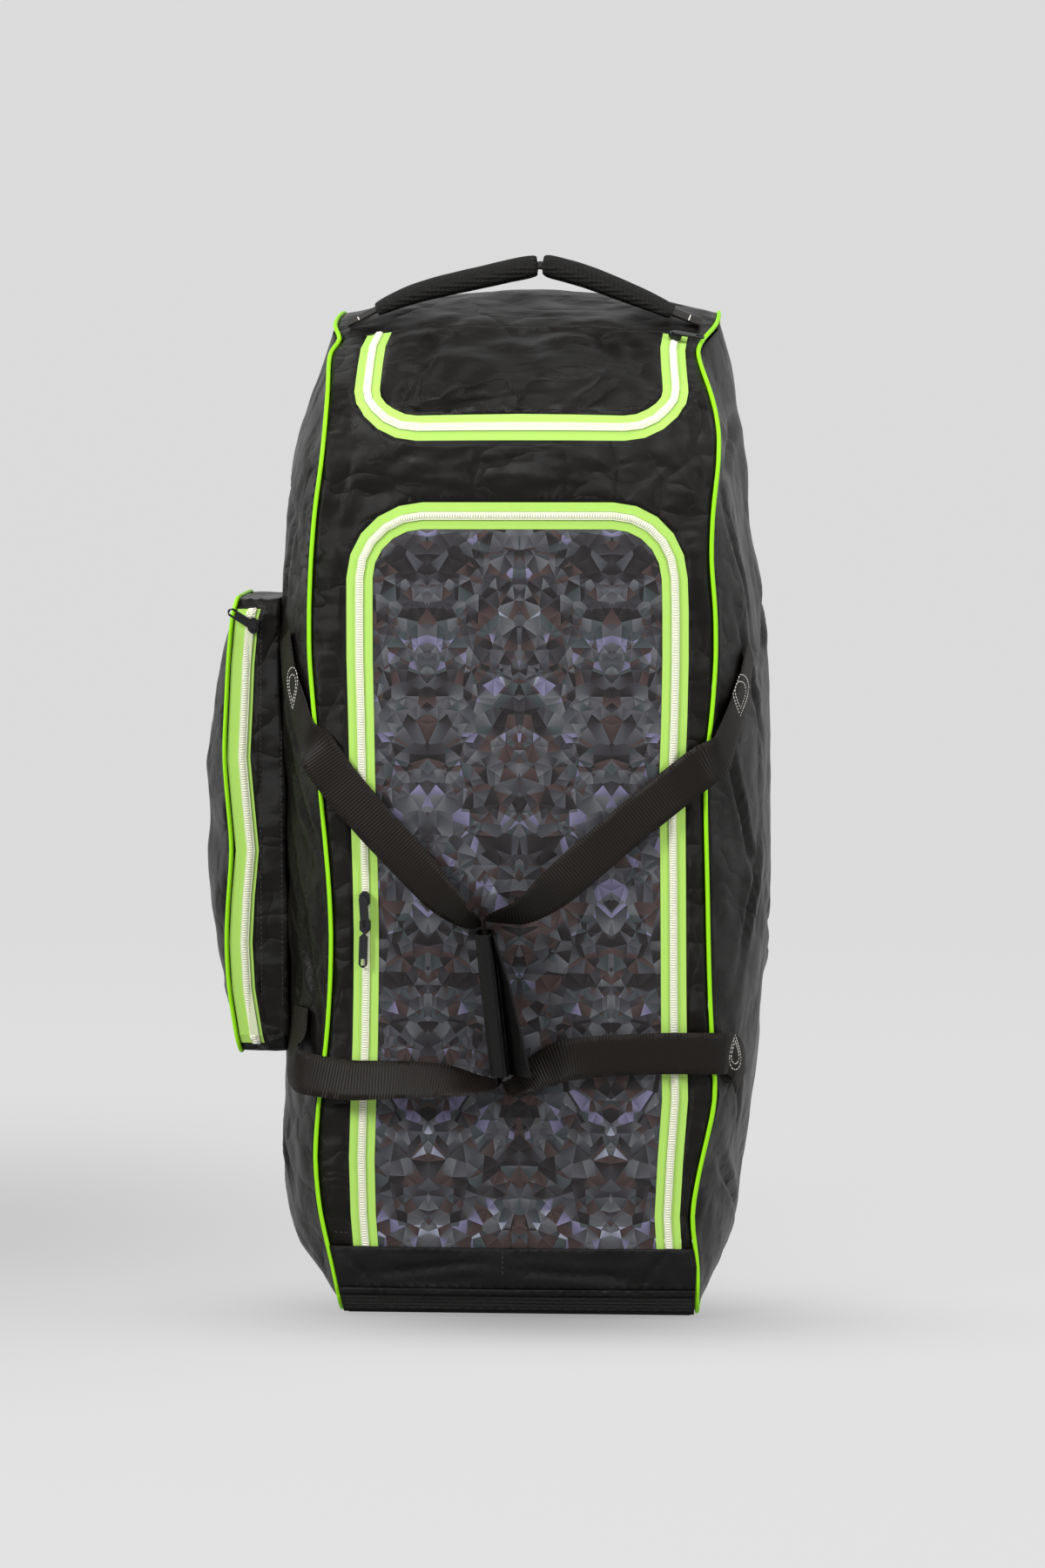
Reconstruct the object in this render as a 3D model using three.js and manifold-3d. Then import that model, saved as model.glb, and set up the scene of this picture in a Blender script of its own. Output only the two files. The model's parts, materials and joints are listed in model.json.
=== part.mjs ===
// Cricket kit bag, standing on its bottom end, in millimetres.
// +Z up, front towards -Y, side pocket at -X. The origin is the centre of the flat base.
import * as THREE from "three";
import { mergeVertices } from "three/addons/utils/BufferGeometryUtils.js";
import Module from "manifold-3d";

const wasm = await Module();
wasm.setup();

// Body
const BODY_HEIGHT = 926; // floor to the seam of the back rim
const BODY_DEPTH = 330; // front seam to back seam
const STRIP_HALF = 178; // half of the strip that runs over front, top end, back and base
const BULGE_LEFT = 60; // a stuffed side panel stands out this far past its seams
const BULGE_RIGHT = 63;
const CLOTH = 2.4; // wall of every cloth panel
const GAP = 0.3; // clearance between neighbouring pieces
const STRIP_MARGIN = 1.2; // the strip's cut edge stops this far from the seam line
const SIDE_MARGIN = 5.0; // the side panels stop this far from it
const SEAM_RISE = 3.2; // the base sags below its seams by this
const BACK_CROWN = 9; // the back panel's middle stands out this far

// Piping
const PIPING_D = 4;
const PIPING_OUT = 1.0; // its centre stands out from the seam corner by this, along both panels
const PIPING_SIDES = 6;

// Zips
const COIL_W = 7.4;
const COIL_H = 1.5; // the coil stands above its tapes
const TAPE_W = 8;
const LID_HALF = 142; // centre line to the lid zip's coil
const LID_TOP = 735; // height of the coil over the lid's top edge
const LID_RADIUS = 56;
const LID_FOOT = 52; // the lid's lower end, under the lower band
const ZIP_FOLLOWS = 0.3; // 0 keeps the zips' legs straight, 1 lets them follow the seams
const TOP_POCKET_HALF = 142;
const TOP_POCKET_FOOT = 812; // height of the coil along the pocket's lower edge
const TOP_POCKET_REACH = 188; // the zip's run from there up the top end
const TOP_POCKET_RADIUS = 48;
const SLIDER_L = 15;
const SLIDER_W = 10;
const SLIDER_H = 4.6;
const PULL_L = 31;
const TOP_PULL_TURN = 62; // degrees the top zip's pull has swung round its slider
const SIDE_PULL_TURN = 238; // and the side pocket's, which lies up and outwards
const PULL_W = 8;
const PULL_T = 1.8;
const PULL_BAR = 2; // rim of the pull's open end
const LID_SLIDER_HEIGHT = 387;
const SLIDER_PITCH = 24; // between the lid zip's two sliders

// Lower band and the flat pocket below it
const BAND_LIFT = 0.9; // band, binding and mesh lie this far over the front panel
const BAND_TOP = 66;
const BAND_FOOT = 27;
const BINDING_FOOT = 21;
const BINDING_T = 3;
const MESH_T = 1.4;
const MESH_FOOT = 6;

// Side pocket
const POCKET_TOP = 657;
const POCKET_FOOT = 230;
const POCKET_FRONT = -85;
const POCKET_BACK = 105;
const POCKET_RADIUS = 18;
const POCKET_STAND = 37; // the pocket's piping stands out past the side panel by this
const POCKET_REACH = STRIP_HALF + BULGE_LEFT + POCKET_STAND; // centre plane of the bag to the piping
const POCKET_BULGE = 31;
const POCKET_ZIP_W = 8;
const POCKET_TAPE_W = 10;
const POCKET_LIP_W = 3; // narrow tape between the coil and the gusset
const POCKET_ZIP_SLIT = 0.8; // the zip's ends stop this far inside the gusset's cut

// Carry straps and grip
const WEBBING = 38;
const WEBBING_T = 1.8;
const GRIP_TOP = 361;
const GRIP_FOOT = 232;
const GRIP_W = 17;
const GRIP_D = 46;
const GRIP_WALL = 2.2;
const GRIP_LEAN = 14; // sideways shift from its top to its foot
const GRIP_X = -23; // centre of its middle
const GRIP_OUT = 5; // clear of the lid behind it
const FLAP_T = 2;
const FLAP_FLARE = 19;

// Grab handle on the top end
const HANDLE_WEB_W = 26;
const HANDLE_WEB_T = 2;
const HANDLE_PAD_W = 40;
const HANDLE_PAD_T = 19;
const HANDLE_RISE = 55; // seam corners to the middle of the handle
const HANDLE_NOTCH = 3; // half of the notch between the two sleeves
const HANDLE_SLACK = 1.6; // room round the webbing inside its sleeves

const COLOURS = {
  cloth: 0x1d1b1a,
  print: 0x34363d,
  webbing: 0x26211e,
  lime: 0x8fe000,
  tape: 0xa6e878,
  coil: 0xf0eeea,
  metal: 0x1a1a1c,
  mesh: 0x151413,
};

// Tables
const table = (names, rows) => rows.map((row) => Object.fromEntries(names.map((name, i) => [name, row[i]])));

// Seam line of the strip from the front foot over the top end to the back rim.
// Shares: height of BODY_HEIGHT, depth and crown of BODY_DEPTH, left and right of STRIP_HALF.
const STRIP_SECTIONS = table(
  ["height", "depth", "left", "right", "crown"],
  [
    [0.0, -0.5, -0.916, 0.904, 0.0],
    [0.054, -0.503, -0.966, 0.916, 0.012],
    [0.103, -0.505, -1.028, 0.871, 0.015],
    [0.159, -0.506, -1.056, 0.927, 0.018],
    [0.221, -0.506, -1.028, 1.006, 0.02],
    [0.275, -0.506, -0.989, 0.98, 0.021],
    [0.329, -0.506, -0.969, 0.966, 0.021],
    [0.383, -0.506, -0.961, 0.958, 0.021],
    [0.437, -0.506, -0.975, 0.952, 0.021],
    [0.491, -0.506, -1.0, 0.944, 0.021],
    [0.545, -0.506, -1.025, 0.938, 0.021],
    [0.599, -0.506, -1.045, 0.972, 0.021],
    [0.653, -0.506, -1.07, 0.992, 0.021],
    [0.702, -0.506, -1.07, 0.989, 0.021],
    [0.751, -0.506, -1.059, 0.963, 0.021],
    [0.799, -0.505, -1.039, 0.972, 0.021],
    [0.842, -0.5, -1.006, 1.0, 0.021],
    [0.873, -0.482, -0.992, 1.003, 0.021],
    [0.896, -0.439, -0.989, 0.983, 0.024],
    [0.918, -0.348, -0.997, 0.949, 0.03],
    [0.937, -0.227, -1.017, 0.91, 0.033],
    [0.955, -0.097, -1.034, 0.882, 0.036],
    [0.968, 0.015, -0.989, 0.91, 0.042],
    [0.982, 0.127, -1.051, 0.978, 0.048],
    [0.992, 0.258, -1.056, 0.994, 0.055],
    [0.999, 0.388, -1.051, 0.994, 0.064],
    [1.0, 0.5, -1.045, 0.989, 0.067],
  ],
);
const SHOULDER = 18; // the section where the front ends and the top end begins
const BACK_HALF_LEFT = 0.97; // the back panel's half widths at the floor, as shares of STRIP_HALF
const BACK_HALF_RIGHT = 0.95;

// How far each side panel stands out at a height, as shares of its bulge.
const SIDE_SECTIONS = table(
  ["height", "left", "right", "peak"],
  [
    [0.0, 0.0, 0.0, 0.62],
    [0.02, 0.8, 0.4, 0.62],
    [0.06, 0.98, 0.55, 0.6],
    [0.11, 0.88, 0.66, 0.56],
    [0.2, 0.78, 0.68, 0.52],
    [0.34, 0.93, 0.93, 0.5],
    [0.475, 0.92, 1.0, 0.5],
    [0.57, 0.86, 0.99, 0.5],
    [0.66, 0.75, 0.86, 0.5],
    [0.78, 0.63, 0.68, 0.5],
    [0.865, 0.6, 0.46, 0.5],
    [0.92, 0.4, 0.28, 0.52],
    [0.97, 0.17, 0.15, 0.55],
    [1.0, 0.0, 0.0, 0.6],
  ],
);
const SIDE_FULLNESS = 2.6; // higher is flatter in the middle and steeper at the seams

// Main dents and folds of the cloth. across and along run 0 to 1 over a panel, as do their radii.
// deep is a share of BODY_DEPTH, and less than 0 for a ridge.
const DENTS = table(
  ["panel", "across", "along", "wide", "long", "deep"],
  [
    ["front", 0.3, 0.72, 0.22, 0.05, 0.008],
    ["front", 0.72, 0.715, 0.2, 0.045, 0.007],
    ["front", 0.5, 0.9, 0.25, 0.09, 0.01],
    ["left", 0.2, 0.52, 0.16, 0.09, 0.02],
    ["left", 0.14, 0.36, 0.14, 0.07, 0.016],
    ["left", 0.3, 0.84, 0.2, 0.07, 0.014],
    ["left", 0.5, 0.14, 0.3, 0.08, -0.01],
    ["right", 0.22, 0.62, 0.18, 0.08, 0.018],
    ["right", 0.3, 0.42, 0.2, 0.06, -0.012],
    ["right", 0.25, 0.22, 0.22, 0.07, 0.018],
    ["right", 0.6, 0.75, 0.3, 0.1, 0.014],
    ["right", 0.2, 0.9, 0.2, 0.06, 0.012],
    ["back", 0.5, 0.3, 0.4, 0.12, 0.014],
    ["back", 0.4, 0.68, 0.35, 0.12, 0.012],
  ],
);

// The pocket's front edge is pulled in and out along its height. reach is a share of POCKET_BULGE.
const POCKET_WAVE = table(
  ["height", "reach"],
  [
    [0.0, -0.28],
    [0.06, -0.1],
    [0.15, 0.08],
    [0.26, 0.15],
    [0.35, 0.06],
    [0.42, -0.08],
    [0.5, -0.06],
    [0.58, 0.12],
    [0.66, 0.18],
    [0.8, 0.06],
    [0.93, 0.0],
    [1.0, -0.25],
  ],
);

// Centre lines of the straps. across is a share of STRIP_HALF on the front, and of BODY_DEPTH on a side.
// height is a share of BODY_HEIGHT, lift of WEBBING. turn is the webbing's roll about its run, in degrees.
const STRAP_COLUMNS = ["on", "across", "height", "lift", "turn"];
const LEFT_STRAP = table(STRAP_COLUMNS, [
  ["left", -0.335, 0.665, 0.05, 0],
  ["left", -0.375, 0.63, 0.05, 0],
  ["left", -0.435, 0.598, 0.08, 0],
  ["left", -0.485, 0.576, 0.14, 0],
  ["front", -1.0, 0.562, 0.17, -8],
  ["front", -0.9, 0.533, 0.2, -6],
  ["front", -0.72, 0.492, 0.28, 0],
  ["front", -0.56, 0.458, 0.36, 8],
  ["front", -0.4, 0.424, 0.48, 24],
  ["front", -0.27, 0.404, 0.62, 50],
  ["grip", -1, 1.09, 0, 78],
  ["grip", -1, 0.97, 0, 90],
  ["grip", -1, 0.5, 0, 90],
  ["grip", -1, 0.03, 0, 90],
  ["grip", -1, -0.08, 0, 90],
  ["front", -0.21, 0.238, 0.6, 70],
  ["front", -0.38, 0.242, 0.5, 48],
  ["front", -0.62, 0.241, 0.38, 34],
  ["front", -0.86, 0.239, 0.3, 24],
  ["left", -0.5, 0.242, 0.38, 14],
  ["left", -0.44, 0.244, 0.42, 0],
  ["left", -0.385, 0.254, 0.26, 0],
  ["left", -0.365, 0.275, 0.07, 0],
  ["left", -0.36, 0.3, 0.05, 0],
]);
const RIGHT_STRAP = table(STRAP_COLUMNS, [
  ["right", -0.28, 0.65, 0.05, 0],
  ["right", -0.35, 0.613, 0.05, 0],
  ["right", -0.42, 0.582, 0.08, 0],
  ["right", -0.49, 0.562, 0.32, 0],
  ["front", 1.0, 0.552, 0.32, 0],
  ["front", 0.84, 0.528, 0.2, 6],
  ["front", 0.62, 0.496, 0.28, 0],
  ["front", 0.4, 0.462, 0.36, 0],
  ["front", 0.22, 0.434, 0.48, -14],
  ["front", 0.04, 0.41, 0.62, -46],
  ["grip", 1, 1.09, 0, -78],
  ["grip", 1, 0.97, 0, -90],
  ["grip", 1, 0.5, 0, -90],
  ["grip", 1, 0.03, 0, -90],
  ["grip", 1, -0.09, 0, -90],
  ["front", 0.0, 0.236, 0.5, -74],
  ["front", 0.1, 0.25, 0.42, -44],
  ["front", 0.24, 0.262, 0.4, -16],
  ["front", 0.44, 0.266, 0.34, 0],
  ["front", 0.7, 0.268, 0.27, 0],
  ["front", 0.98, 0.268, 0.26, 0],
  ["right", -0.5, 0.266, 0.26, 0],
  ["right", -0.44, 0.262, 0.12, 0],
  ["right", -0.385, 0.25, 0.06, 0],
  ["right", -0.355, 0.228, 0.05, 0],
]);

// The grab handle's rise over its span, and its pads' thickness there. span runs 0 to 1 from left to right.
const HANDLE_LINE = table(
  ["span", "rise", "pad"],
  [
    [0.0, 0.0, 0.3],
    [0.044, 0.12, 0.45],
    [0.13, 0.4, 0.75],
    [0.25, 0.62, 0.95],
    [0.4, 0.81, 1.0],
    [0.5, 0.96, 1.05],
    [0.56, 1.0, 1.05],
    [0.69, 0.77, 1.0],
    [0.77, 0.57, 0.95],
    [0.854, 0.37, 0.75],
    [0.924, 0.17, 0.5],
    [1.0, 0.0, 0.3],
  ],
);
const HANDLE_MIDDLE = 0.545; // the sleeves meet here, as a share of the span
const HANDLE_PLACE = 42; // the handle is sewn on this far behind the bag's middle
const HANDLE_ROOT = 0.93; // its sewn ends, as a share of STRIP_HALF
const PAD_END = 0.08; // the sleeves stop this share of the span from the sewn ends

// Solids

// Signed volume of a closed triangle mesh.
function volumeOf(points, faces) {
  let sum = 0;
  for (const [a, b, c] of faces) {
    sum += points[a].dot(points[b].clone().cross(points[c])) / 6;
  }
  return sum;
}

// Closed geometry from points and triangles, turned so that its faces point outwards.
function closed(points, faces) {
  const outward = volumeOf(points, faces) > 0;
  const index = faces.flatMap(([a, b, c]) => (outward ? [a, b, c] : [a, c, b]));
  const geometry = new THREE.BufferGeometry().setFromPoints(points);
  geometry.setIndex(index);
  return geometry;
}

function toSolid(geometry) {
  const bare = geometry.clone();
  bare.deleteAttribute("normal");
  bare.deleteAttribute("uv");
  const merged = mergeVertices(bare, 1e-4);
  return new wasm.Manifold(
    new wasm.Mesh({
      numProp: 3,
      vertProperties: merged.attributes.position.array,
      triVerts: new Uint32Array(merged.index.array),
    }),
  );
}

function toGeometry(solid) {
  const mesh = solid.getMesh();
  const geometry = new THREE.BufferGeometry();
  geometry.setAttribute("position", new THREE.BufferAttribute(new Float32Array(mesh.vertProperties), 3));
  geometry.setIndex(new THREE.BufferAttribute(new Uint32Array(mesh.triVerts), 1));
  return geometry;
}

// The largest body of a solid, which drops the crumbs that a grazing cut leaves.
function mainBody(solid) {
  return solid.decompose().sort((a, b) => b.volume() - a.volume())[0];
}

const quad = (a, b, c, d) => [
  [a, b, c],
  [a, c, d],
];

// Solid through a row of rings that hold the same number of points.
function loft(rings) {
  const count = rings[0].length;
  const points = rings.flat();
  const faces = [];
  for (let r = 0; r + 1 < rings.length; r += 1) {
    for (let i = 0; i < count; i += 1) {
      const next = (i + 1) % count;
      faces.push(...quad(r * count + i, r * count + next, (r + 1) * count + next, (r + 1) * count + i));
    }
  }
  const last = (rings.length - 1) * count;
  for (let i = 1; i + 1 < count; i += 1) {
    faces.push([0, i + 1, i]);
    faces.push([last, last + i, last + i + 1]);
  }
  return closed(points, faces);
}

// Sleeve between a row of outer rings and a row of inner rings, open at both ends.
function sleeve(outer, inner) {
  const count = outer[0].length;
  const rows = outer.length;
  const points = [...outer.flat(), ...inner.flat()];
  const at = (layer, r, i) => (layer * rows + r) * count + (i % count);
  const faces = [];
  for (let i = 0; i < count; i += 1) {
    for (let r = 0; r + 1 < rows; r += 1) {
      faces.push(...quad(at(0, r, i), at(0, r, i + 1), at(0, r + 1, i + 1), at(0, r + 1, i)));
      faces.push(...quad(at(1, r, i + 1), at(1, r, i), at(1, r + 1, i), at(1, r + 1, i + 1)));
    }
    faces.push(...quad(at(0, 0, i + 1), at(0, 0, i), at(1, 0, i), at(1, 0, i + 1)));
    faces.push(...quad(at(0, rows - 1, i), at(0, rows - 1, i + 1), at(1, rows - 1, i + 1), at(1, rows - 1, i)));
  }
  return closed(points, faces);
}

// Surfaces

const mix = (a, b, t) => a + (b - a) * t;
const hump = (t, power) => 1 - Math.abs(t) ** power;

// Value of one column of a table at a place along another.
function lookUp(rows, key, place, column) {
  let k = 1;
  while (k < rows.length - 1 && rows[k][key] < place) {
    k += 1;
  }
  const t = THREE.MathUtils.clamp((place - rows[k - 1][key]) / (rows[k][key] - rows[k - 1][key]), 0, 1);
  return mix(rows[k - 1][column], rows[k][column], t);
}

// Depth of the dents and folds of one panel at a place on it.
function dentAt(panel, across, along) {
  let deep = 0;
  for (const dent of DENTS.filter((row) => row.panel === panel)) {
    const x = (across - dent.across) / dent.wide;
    const y = (along - dent.along) / dent.long;
    const away = x * x + y * y;
    if (away < 1) {
      deep += dent.deep * BODY_DEPTH * (1 - away) ** 2;
    }
  }
  return deep * Math.min(1, 8 * across * (1 - across)) * Math.min(1, 12 * along * (1 - along));
}

const seam = STRIP_SECTIONS.map((row) => ({
  y: row.depth * BODY_DEPTH,
  z: Math.max(SEAM_RISE, row.height * BODY_HEIGHT),
  left: row.left * STRIP_HALF,
  right: row.right * STRIP_HALF,
  crown: row.crown * BODY_DEPTH,
}));
const RIM = seam.length - 1;
const TOP_CELLS = RIM - SHOULDER;

// Outward direction of the strip across its seam line at one section.
function stripNormal(k) {
  const before = seam[Math.max(0, k - 1)];
  const after = seam[Math.min(RIM, k + 1)];
  return new THREE.Vector3(0, -(after.z - before.z), after.y - before.y).normalize();
}

// A section of the strip at a place between two rows of the seam table.
function seamAt(k) {
  const low = Math.min(Math.floor(k), RIM - 1);
  const t = k - low;
  const row = {};
  for (const name of ["y", "z", "left", "right", "crown"]) {
    row[name] = mix(seam[low][name], seam[low + 1][name], t);
  }
  row.normal = stripNormal(low).lerp(stripNormal(low + 1), t).normalize();
  return row;
}

// Front and top end. a runs -1 to 1 from seam to seam, k counts the sections.
function frontPoint(a, k) {
  const row = seamAt(k);
  const point = new THREE.Vector3(mix(row.left, row.right, (a + 1) / 2), row.y, row.z);
  const out = row.crown * hump(a, 2.4) - dentAt("front", (a + 1) / 2, k / RIM);
  return point.addScaledVector(row.normal, out);
}

// Back panel, t runs 0 to 1 from the rim down to the floor.
function backPoint(a, t) {
  const rim = seam[RIM];
  const left = mix(rim.left, -BACK_HALF_LEFT * STRIP_HALF, t);
  const right = mix(rim.right, BACK_HALF_RIGHT * STRIP_HALF, t);
  const point = new THREE.Vector3(mix(left, right, (a + 1) / 2), rim.y, mix(rim.z, SEAM_RISE, t));
  point.addScaledVector(stripNormal(RIM), rim.crown * hump(a, 2.4) * (1 - t) ** 3);
  point.y += BACK_CROWN * hump(a, 2.4) * hump(2 * t - 1, 3) - dentAt("back", (a + 1) / 2, t);
  return point;
}

// A seam corner of a side panel. side is -1 on the left and 1 on the right.
const seamX = (row, side) => (side < 0 ? row.left : row.right);
function backSeam(side, c) {
  const rim = seam[RIM];
  const floor = side * (side < 0 ? BACK_HALF_LEFT : BACK_HALF_RIGHT) * STRIP_HALF;
  return new THREE.Vector3(mix(floor, seamX(rim, side), c), rim.y, mix(SEAM_RISE, rim.z, c));
}
function frontSeam(side, k) {
  const row = seamAt(k);
  return new THREE.Vector3(seamX(row, side), row.y, row.z);
}

// Side panel, u runs 0 to 1 from front to back and c from the floor to the top end.
function sidePoint(side, u, c) {
  const front = frontSeam(side, c * SHOULDER);
  const back = backSeam(side, c);
  const foot = frontSeam(side, 0).lerp(backSeam(side, 0), u);
  const top = frontSeam(side, SHOULDER + u * TOP_CELLS);
  const corners = frontSeam(side, 0)
    .lerp(backSeam(side, 0), u)
    .lerp(frontSeam(side, SHOULDER).lerp(backSeam(side, 1), u), c);
  const point = front.lerp(back, u).add(foot.lerp(top, c)).sub(corners);
  const bulge = side < 0 ? BULGE_LEFT : BULGE_RIGHT;
  const peak = lookUp(SIDE_SECTIONS, "height", c, "peak");
  const skewed = u < peak ? (0.5 * u) / peak : 0.5 + (0.5 * (u - peak)) / (1 - peak);
  const share = lookUp(SIDE_SECTIONS, "height", c, side < 0 ? "left" : "right");
  const out = bulge * share * hump(2 * skewed - 1, SIDE_FULLNESS);
  point.x += side * (out - dentAt(side < 0 ? "left" : "right", u, c));
  return point;
}

// Base, flat on the floor but for its rising edges. b runs 0 to 1 from front to back.
function basePoint(a, b) {
  const front = new THREE.Vector3(mix(seam[0].left, seam[0].right, (a + 1) / 2), seam[0].y, SEAM_RISE);
  const left = backSeam(-1, 0);
  const right = backSeam(1, 0);
  const back = left.lerp(right, (a + 1) / 2);
  const point = front.lerp(back, b);
  const edge = Math.min(1 - Math.abs(a), 2 * b, 2 - 2 * b);
  point.z = SEAM_RISE * (1 - Math.min(1, edge / 0.2));
  return point;
}

// Evenly spaced stops from one value to another.
const stops = (from, to, cells) => Array.from({ length: cells + 1 }, (_, i) => mix(from, to, i / cells));

// A panel's outer surface as rows of points with their outward directions.
// Its border is moved in by a margin across and a margin along, in millimetres.
function surface(point, across, along, outward, marginAcross, marginAlong) {
  const nudge = 1e-3;
  const inwards = (list, i) => (i === 0 ? 1 : i === list.length - 1 ? -1 : 0);
  return along.map((v0, j) =>
    across.map((u0, i) => {
      const towardsU = inwards(across, i);
      const towardsV = inwards(along, j);
      const u1 = u0 + 10 * nudge * towardsU;
      const v1 = v0 + 10 * nudge * towardsV;
      const stepU = point(u1 + nudge, v1).distanceTo(point(u1 - nudge, v1)) / (2 * nudge);
      const stepV = point(u1, v1 + nudge).distanceTo(point(u1, v1 - nudge)) / (2 * nudge);
      const u = u0 + (towardsU * marginAcross) / stepU;
      const v = v0 + (towardsV * marginAlong) / stepV;
      const du = point(u + nudge, v).sub(point(u - nudge, v));
      const dv = point(u, v + nudge).sub(point(u, v - nudge));
      const normal = du.cross(dv).normalize();
      if (normal.dot(outward) < 0) {
        normal.negate();
      }
      return { at: point(u, v), normal };
    }),
  );
}

// Solid between two heights over a surface.
function layer(rows, low, high) {
  const wide = rows[0].length;
  const points = [];
  for (const height of [high, low]) {
    for (const row of rows) {
      for (const { at, normal } of row) {
        points.push(at.clone().addScaledVector(normal, height));
      }
    }
  }
  const under = rows.length * wide;
  const at = (j, i) => j * wide + i;
  const faces = [];
  for (let j = 0; j + 1 < rows.length; j += 1) {
    for (let i = 0; i + 1 < wide; i += 1) {
      const [a, b, c, d] = [at(j, i), at(j, i + 1), at(j + 1, i + 1), at(j + 1, i)];
      faces.push(...quad(a, b, c, d));
      faces.push([under + a, under + c, under + b]);
      faces.push([under + a, under + d, under + c]);
    }
  }
  const border = [];
  for (let i = 0; i < wide; i += 1) border.push(at(0, i));
  for (let j = 1; j < rows.length; j += 1) border.push(at(j, wide - 1));
  for (let i = wide - 2; i >= 0; i -= 1) border.push(at(rows.length - 1, i));
  for (let j = rows.length - 2; j > 0; j -= 1) border.push(at(j, 0));
  border.forEach((a, n) => {
    const b = border[(n + 1) % border.length];
    faces.push(...quad(b, a, under + a, under + b));
  });
  return closed(points, faces);
}

// Point over a surface at fractional row and column, on the same facets as its layers.
function over(rows, j, i, height) {
  const j0 = THREE.MathUtils.clamp(Math.floor(j), 0, rows.length - 2);
  const i0 = THREE.MathUtils.clamp(Math.floor(i), 0, rows[0].length - 2);
  const s = j - j0;
  const t = i - i0;
  const weights = [
    [rows[j0][i0], 1 - Math.max(s, t)],
    [rows[j0][i0 + 1], Math.max(0, t - s)],
    [rows[j0 + 1][i0], Math.max(0, s - t)],
    [rows[j0 + 1][i0 + 1], Math.min(s, t)],
  ];
  const at = new THREE.Vector3();
  const normal = new THREE.Vector3();
  for (const [node, weight] of weights) {
    at.addScaledVector(node.at, weight);
    normal.addScaledVector(node.normal, weight);
  }
  normal.normalize();
  return { at: at.addScaledVector(normal, height), normal };
}

const FRONT_CELLS = 8;
const SIDE_CELLS = TOP_CELLS;
const BACK_CELLS = 6;
const frontRows = surface(
  frontPoint,
  stops(-1, 1, FRONT_CELLS),
  stops(0, RIM, RIM),
  new THREE.Vector3(0, -1, 0.6),
  STRIP_MARGIN,
  STRIP_MARGIN,
);
const backRows = surface(
  backPoint,
  stops(-1, 1, BACK_CELLS),
  stops(0, 1, SHOULDER),
  new THREE.Vector3(0, 1, 0),
  STRIP_MARGIN,
  SIDE_MARGIN,
);
const baseRows = surface(
  basePoint,
  stops(-1, 1, BACK_CELLS),
  stops(0, 1, SIDE_CELLS),
  new THREE.Vector3(0, 0, -1),
  SIDE_MARGIN,
  SIDE_MARGIN,
);
const sideRows = {};
for (const side of [-1, 1]) {
  sideRows[side] = surface(
    (u, c) => sidePoint(side, u, c),
    stops(0, 1, SIDE_CELLS),
    stops(0, 1, SHOULDER),
    new THREE.Vector3(side, 0, 0),
    SIDE_MARGIN,
    SIDE_MARGIN,
  );
}

// Flat pattern of the front: x across from the middle at the strip's nominal width, y up along the cloth.
const runTo = [0];
for (let k = 1; k <= RIM; k += 1) {
  runTo.push(runTo[k - 1] + Math.hypot(seam[k].y - seam[k - 1].y, seam[k].z - seam[k - 1].z));
}
const places = (list, value) => {
  let k = 1;
  while (k < list.length - 1 && list[k] < value) {
    k += 1;
  }
  return k - 1 + (value - list[k - 1]) / (list[k] - list[k - 1]);
};
const runAtHeight = (height) => {
  const k = places(seam.map((row) => row.z), height);
  const low = Math.min(Math.floor(k), RIM - 1);
  return mix(runTo[low], runTo[low + 1], k - low);
};
const sectionAtRun = (run) => places(runTo, run);
const columnAt = (x) => ((x / STRIP_HALF + 1) / 2) * FRONT_CELLS;
const onFlat = (x, run, height) => over(frontRows, sectionAtRun(run), columnAt(x), height);

// The same for a zip, whose legs run straighter than the seams beside them: x is its true distance from the
// middle plane, mixed with the seams' waviness by ZIP_FOLLOWS.
function onZip(x, run, height) {
  const row = seamAt(Math.min(sectionAtRun(run), RIM));
  const straight = ((x - row.left) / (row.right - row.left)) * FRONT_CELLS;
  return over(frontRows, sectionAtRun(run), mix(straight, columnAt(x), ZIP_FOLLOWS), height);
}

// Cutter over the front that follows the cloth along an outline drawn on the flat pattern.
// The outline's points face each other across it, the first the last, so rungs between them close it.
const CUTTER_HEIGHTS = [60, CLOTH, -2 * CLOTH, -26];
const ARC_STOPS = 5;
function cutter(outline) {
  const count = outline.length;
  const triangles = [];
  for (let i = 0; i + 1 < count - 1 - i; i += 1) {
    const across = count - 1 - i;
    triangles.push([i, i + 1, across]);
    if (i + 1 < across - 1) {
      triangles.push([i + 1, across - 1, across]);
    }
  }
  const points = CUTTER_HEIGHTS.flatMap((height) => outline.map(([x, run]) => onZip(x, run, height).at));
  const under = (CUTTER_HEIGHTS.length - 1) * count;
  const faces = triangles.flatMap(([a, b, c]) => [
    [a, b, c],
    [under + a, under + c, under + b],
  ]);
  for (let level = 0; level < under; level += count) {
    for (let i = 0; i < count; i += 1) {
      const next = (i + 1) % count;
      faces.push(...quad(level + next, level + i, level + count + i, level + count + next));
    }
  }
  return toSolid(closed(points, faces));
}

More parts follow.
